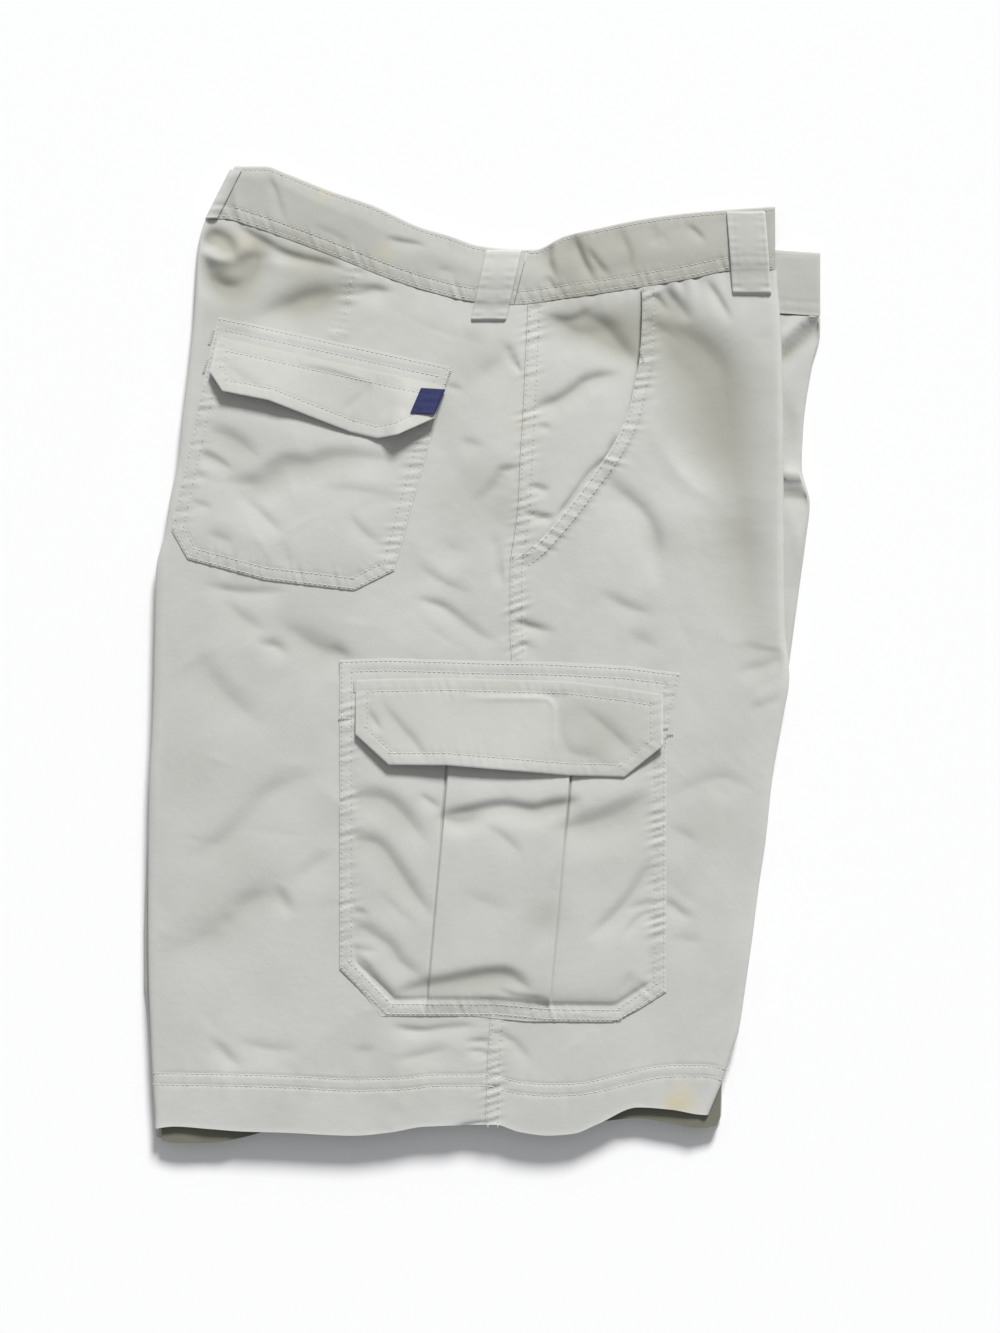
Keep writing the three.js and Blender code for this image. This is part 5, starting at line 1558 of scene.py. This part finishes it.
def bar_tack(x, y, angle, length, height, turns=9):
    """A short close zigzag that holds a corner."""
    along = np.linspace(-length / 2, length / 2, turns)
    dx, dy = np.cos(np.radians(angle)), np.sin(np.radians(angle))
    px, py = x + dx * along, y + dy * along
    z = height(px, py) + TACK_RISE
    return np.stack([px, py, z, 0 * px - dy, 0 * px + dx, 0 * px], axis=1)


def leg_stitches():
    beside_facing = [p for p in side_seam_path if p[1] > MOUTH_END]
    beside_front = [p for p in side_seam_path if 0 < p[1] <= MOUTH_END]
    below_pocket = [p for p in side_seam_path if p[1] < POCKET_FOOT]
    lines = [
        (beside_facing, facing_height), (beside_front, front_height), (below_pocket, front_height),
        (mouth_path, front_height),
    ]
    rows = [stitch_row(path, offset, height) for path, height in lines for offset in TWO_ROWS]
    rows += [stitch_row(hem_path, -offset, leg_height) for offset in (0, HEM_ROWS)]
    rows += [stitch_row(DART, 0, leg_height)]
    return stitching("stitching_leg", rows)


def band_stitches():
    left = across_path(waist_seam, -173, 20)
    right = across_path(waist_seam, 22, 186)
    top_left = across_path(waist_top, -156, 24)
    top_right = across_path(waist_top, 30, 186)
    rows = [stitch_row(path, offset, band_height) for path in (left, right) for offset in BAND_SEAM_ROWS]
    rows += [stitch_row(path, -BAND_TOP_ROW, band_height) for path in (top_left, top_right)]
    return stitching("stitching_waist", rows)


def patch_stitches(name, path, height, offsets=TWO_ROWS):
    return stitching(name, [stitch_row(path, offset, height, path) for offset in offsets])


def tacks():
    regions = [
        (BACK_TACKS, back_pocket_height), (CARGO_TACKS, cargo_pocket_height), (FRONT_TACKS, front_height),
    ]
    rows = [bar_tack(*tack, height) for tacks_there, height in regions for tack in tacks_there]
    return stitching("bar_tacks", rows, length=TACK_LENGTH, width=TACK_WIDTH)


# Every piece, attached to the root, with the solids that it stands for hidden

def declare(piece, nodes):
    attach(piece, "root")
    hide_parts(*nodes)


def build():
    back = back_panel()
    front = front_panel()
    facing = pocket_facing()
    inner = inner_leg()
    lower = lower_leg()
    under_band = lower_waistband()
    left_of_join = [x - JOIN_GAP for x in SIDE_JOIN]
    right_of_join = [x + JOIN_GAP for x in SIDE_JOIN]
    band_back = band_piece("waist_back", (BACK_END[0], BACK_END[1]), left_of_join, True)
    band_front = band_piece("waist_front", right_of_join, (FRONT_END, FRONT_END), False)
    side_loop = belt_loop("loop_side", **SIDE_LOOP, darkening=0.15)
    front_loop = belt_loop("loop_front", **FRONT_LOOP, darkening=0.4)
    centre_loop = back_loop()
    seat = patch(
        "seat_pocket", BACK_POCKET, BACK_OUTLINE, back_path, back_pocket_height, 1.4, BACK_FOLDS,
        puckered=0.6,
    )
    # The flaps' darkening is painted shade, for the light that their slope catches
    seat_flap = patch(
        "seat_flap", BACK_POCKET, BACK_FLAP, back_flap_path, back_flap_height, 1.3, BACK_FLAP_FOLDS,
        puckered=0.3, darkening=0.28,
    )
    tab = tab_label()
    cargo = patch(
        "leg_pocket", CARGO_POCKET, CARGO_OUTLINE, cargo_path, cargo_pocket_height, 1.35, CARGO_FOLDS,
        widen=leaning, spots=[(PLEAT_LEFT, 4), (PLEAT_RIGHT, 4)],
    )
    cargo_flap = patch(
        "leg_flap", CARGO_POCKET, CARGO_FLAP, cargo_flap_path, cargo_flap_height, 1.4, CARGO_FLAP_FOLDS,
        puckered=0.4, darkening=0.24, imprint_highlight=0.3,
    )

    declare(back, ["back_panel"])
    declare(front, ["front_panel"])
    declare(facing, ["front_pocket_facing"])
    declare(inner, ["under_half"])
    declare(lower, ["under_half"])
    declare(under_band, ["waistband_under"])
    declare(band_back, ["waistband_back"])
    declare(band_front, ["waistband_front"])
    declare(side_loop, ["belt_loop_side"])
    declare(front_loop, ["belt_loop_front"])
    declare(centre_loop, ["belt_loop_back"])
    declare(seat, ["back_pocket"])
    declare(seat_flap, ["back_flap"])
    declare(tab, ["tab_label"])
    declare(cargo, ["cargo_pocket"])
    declare(cargo_flap, ["cargo_flap"])

    sewing = [
        leg_stitches(),
        band_stitches(),
        patch_stitches("stitching_seat_pocket", back_path, back_pocket_height),
        patch_stitches("stitching_seat_flap", back_flap_path, back_flap_height, FLAP_ROWS),
        patch_stitches("stitching_leg_pocket", cargo_path, cargo_pocket_height),
        patch_stitches("stitching_leg_flap", cargo_flap_path, cargo_flap_height, FLAP_ROWS),
        tacks(),
    ]
    for piece in sewing:
        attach(piece, "root")


# Floor, light and camera


def floor():
    bpy.ops.mesh.primitive_plane_add(size=8)
    plane = bpy.context.active_object
    plane.name = "floor"
    material, _, _ = new_material("pale_floor", {"Base Color": (0.93, 0.93, 0.93, 1), "Roughness": 0.9})
    plane.data.materials.append(material)


def stage():
    floor()
    sun = bpy.data.lights.new("key", "SUN")
    sun.energy = KEY_STRENGTH
    sun.angle = np.radians(KEY_SIZE)
    key = linked("key", sun)
    rise, turn = np.radians(KEY_ELEVATION), np.radians(KEY_TURN)
    towards = Vector((np.sin(turn) * np.cos(rise), np.cos(turn) * np.cos(rise), np.sin(rise)))
    key.rotation_euler = (-towards).to_track_quat("-Z", "Y").to_euler()
    world = bpy.data.worlds.new("studio")
    bpy.context.scene.world = world
    world.use_nodes = True
    set_inputs(world.node_tree.nodes["Background"], {"Color": (0.97, 0.98, 1, 1), "Strength": FILL_STRENGTH})
    data = bpy.data.cameras.new("camera")
    data.sensor_fit = "VERTICAL"
    data.sensor_height = SENSOR
    data.lens = SENSOR * CAMERA_DISTANCE / PHOTO_HEIGHT
    camera = linked("camera", data)
    camera.location = (*PHOTO_CENTRE, CAMERA_DISTANCE)
    bpy.context.scene.camera = camera
    bpy.context.scene.view_settings.view_transform = "Standard"


build()
stage()
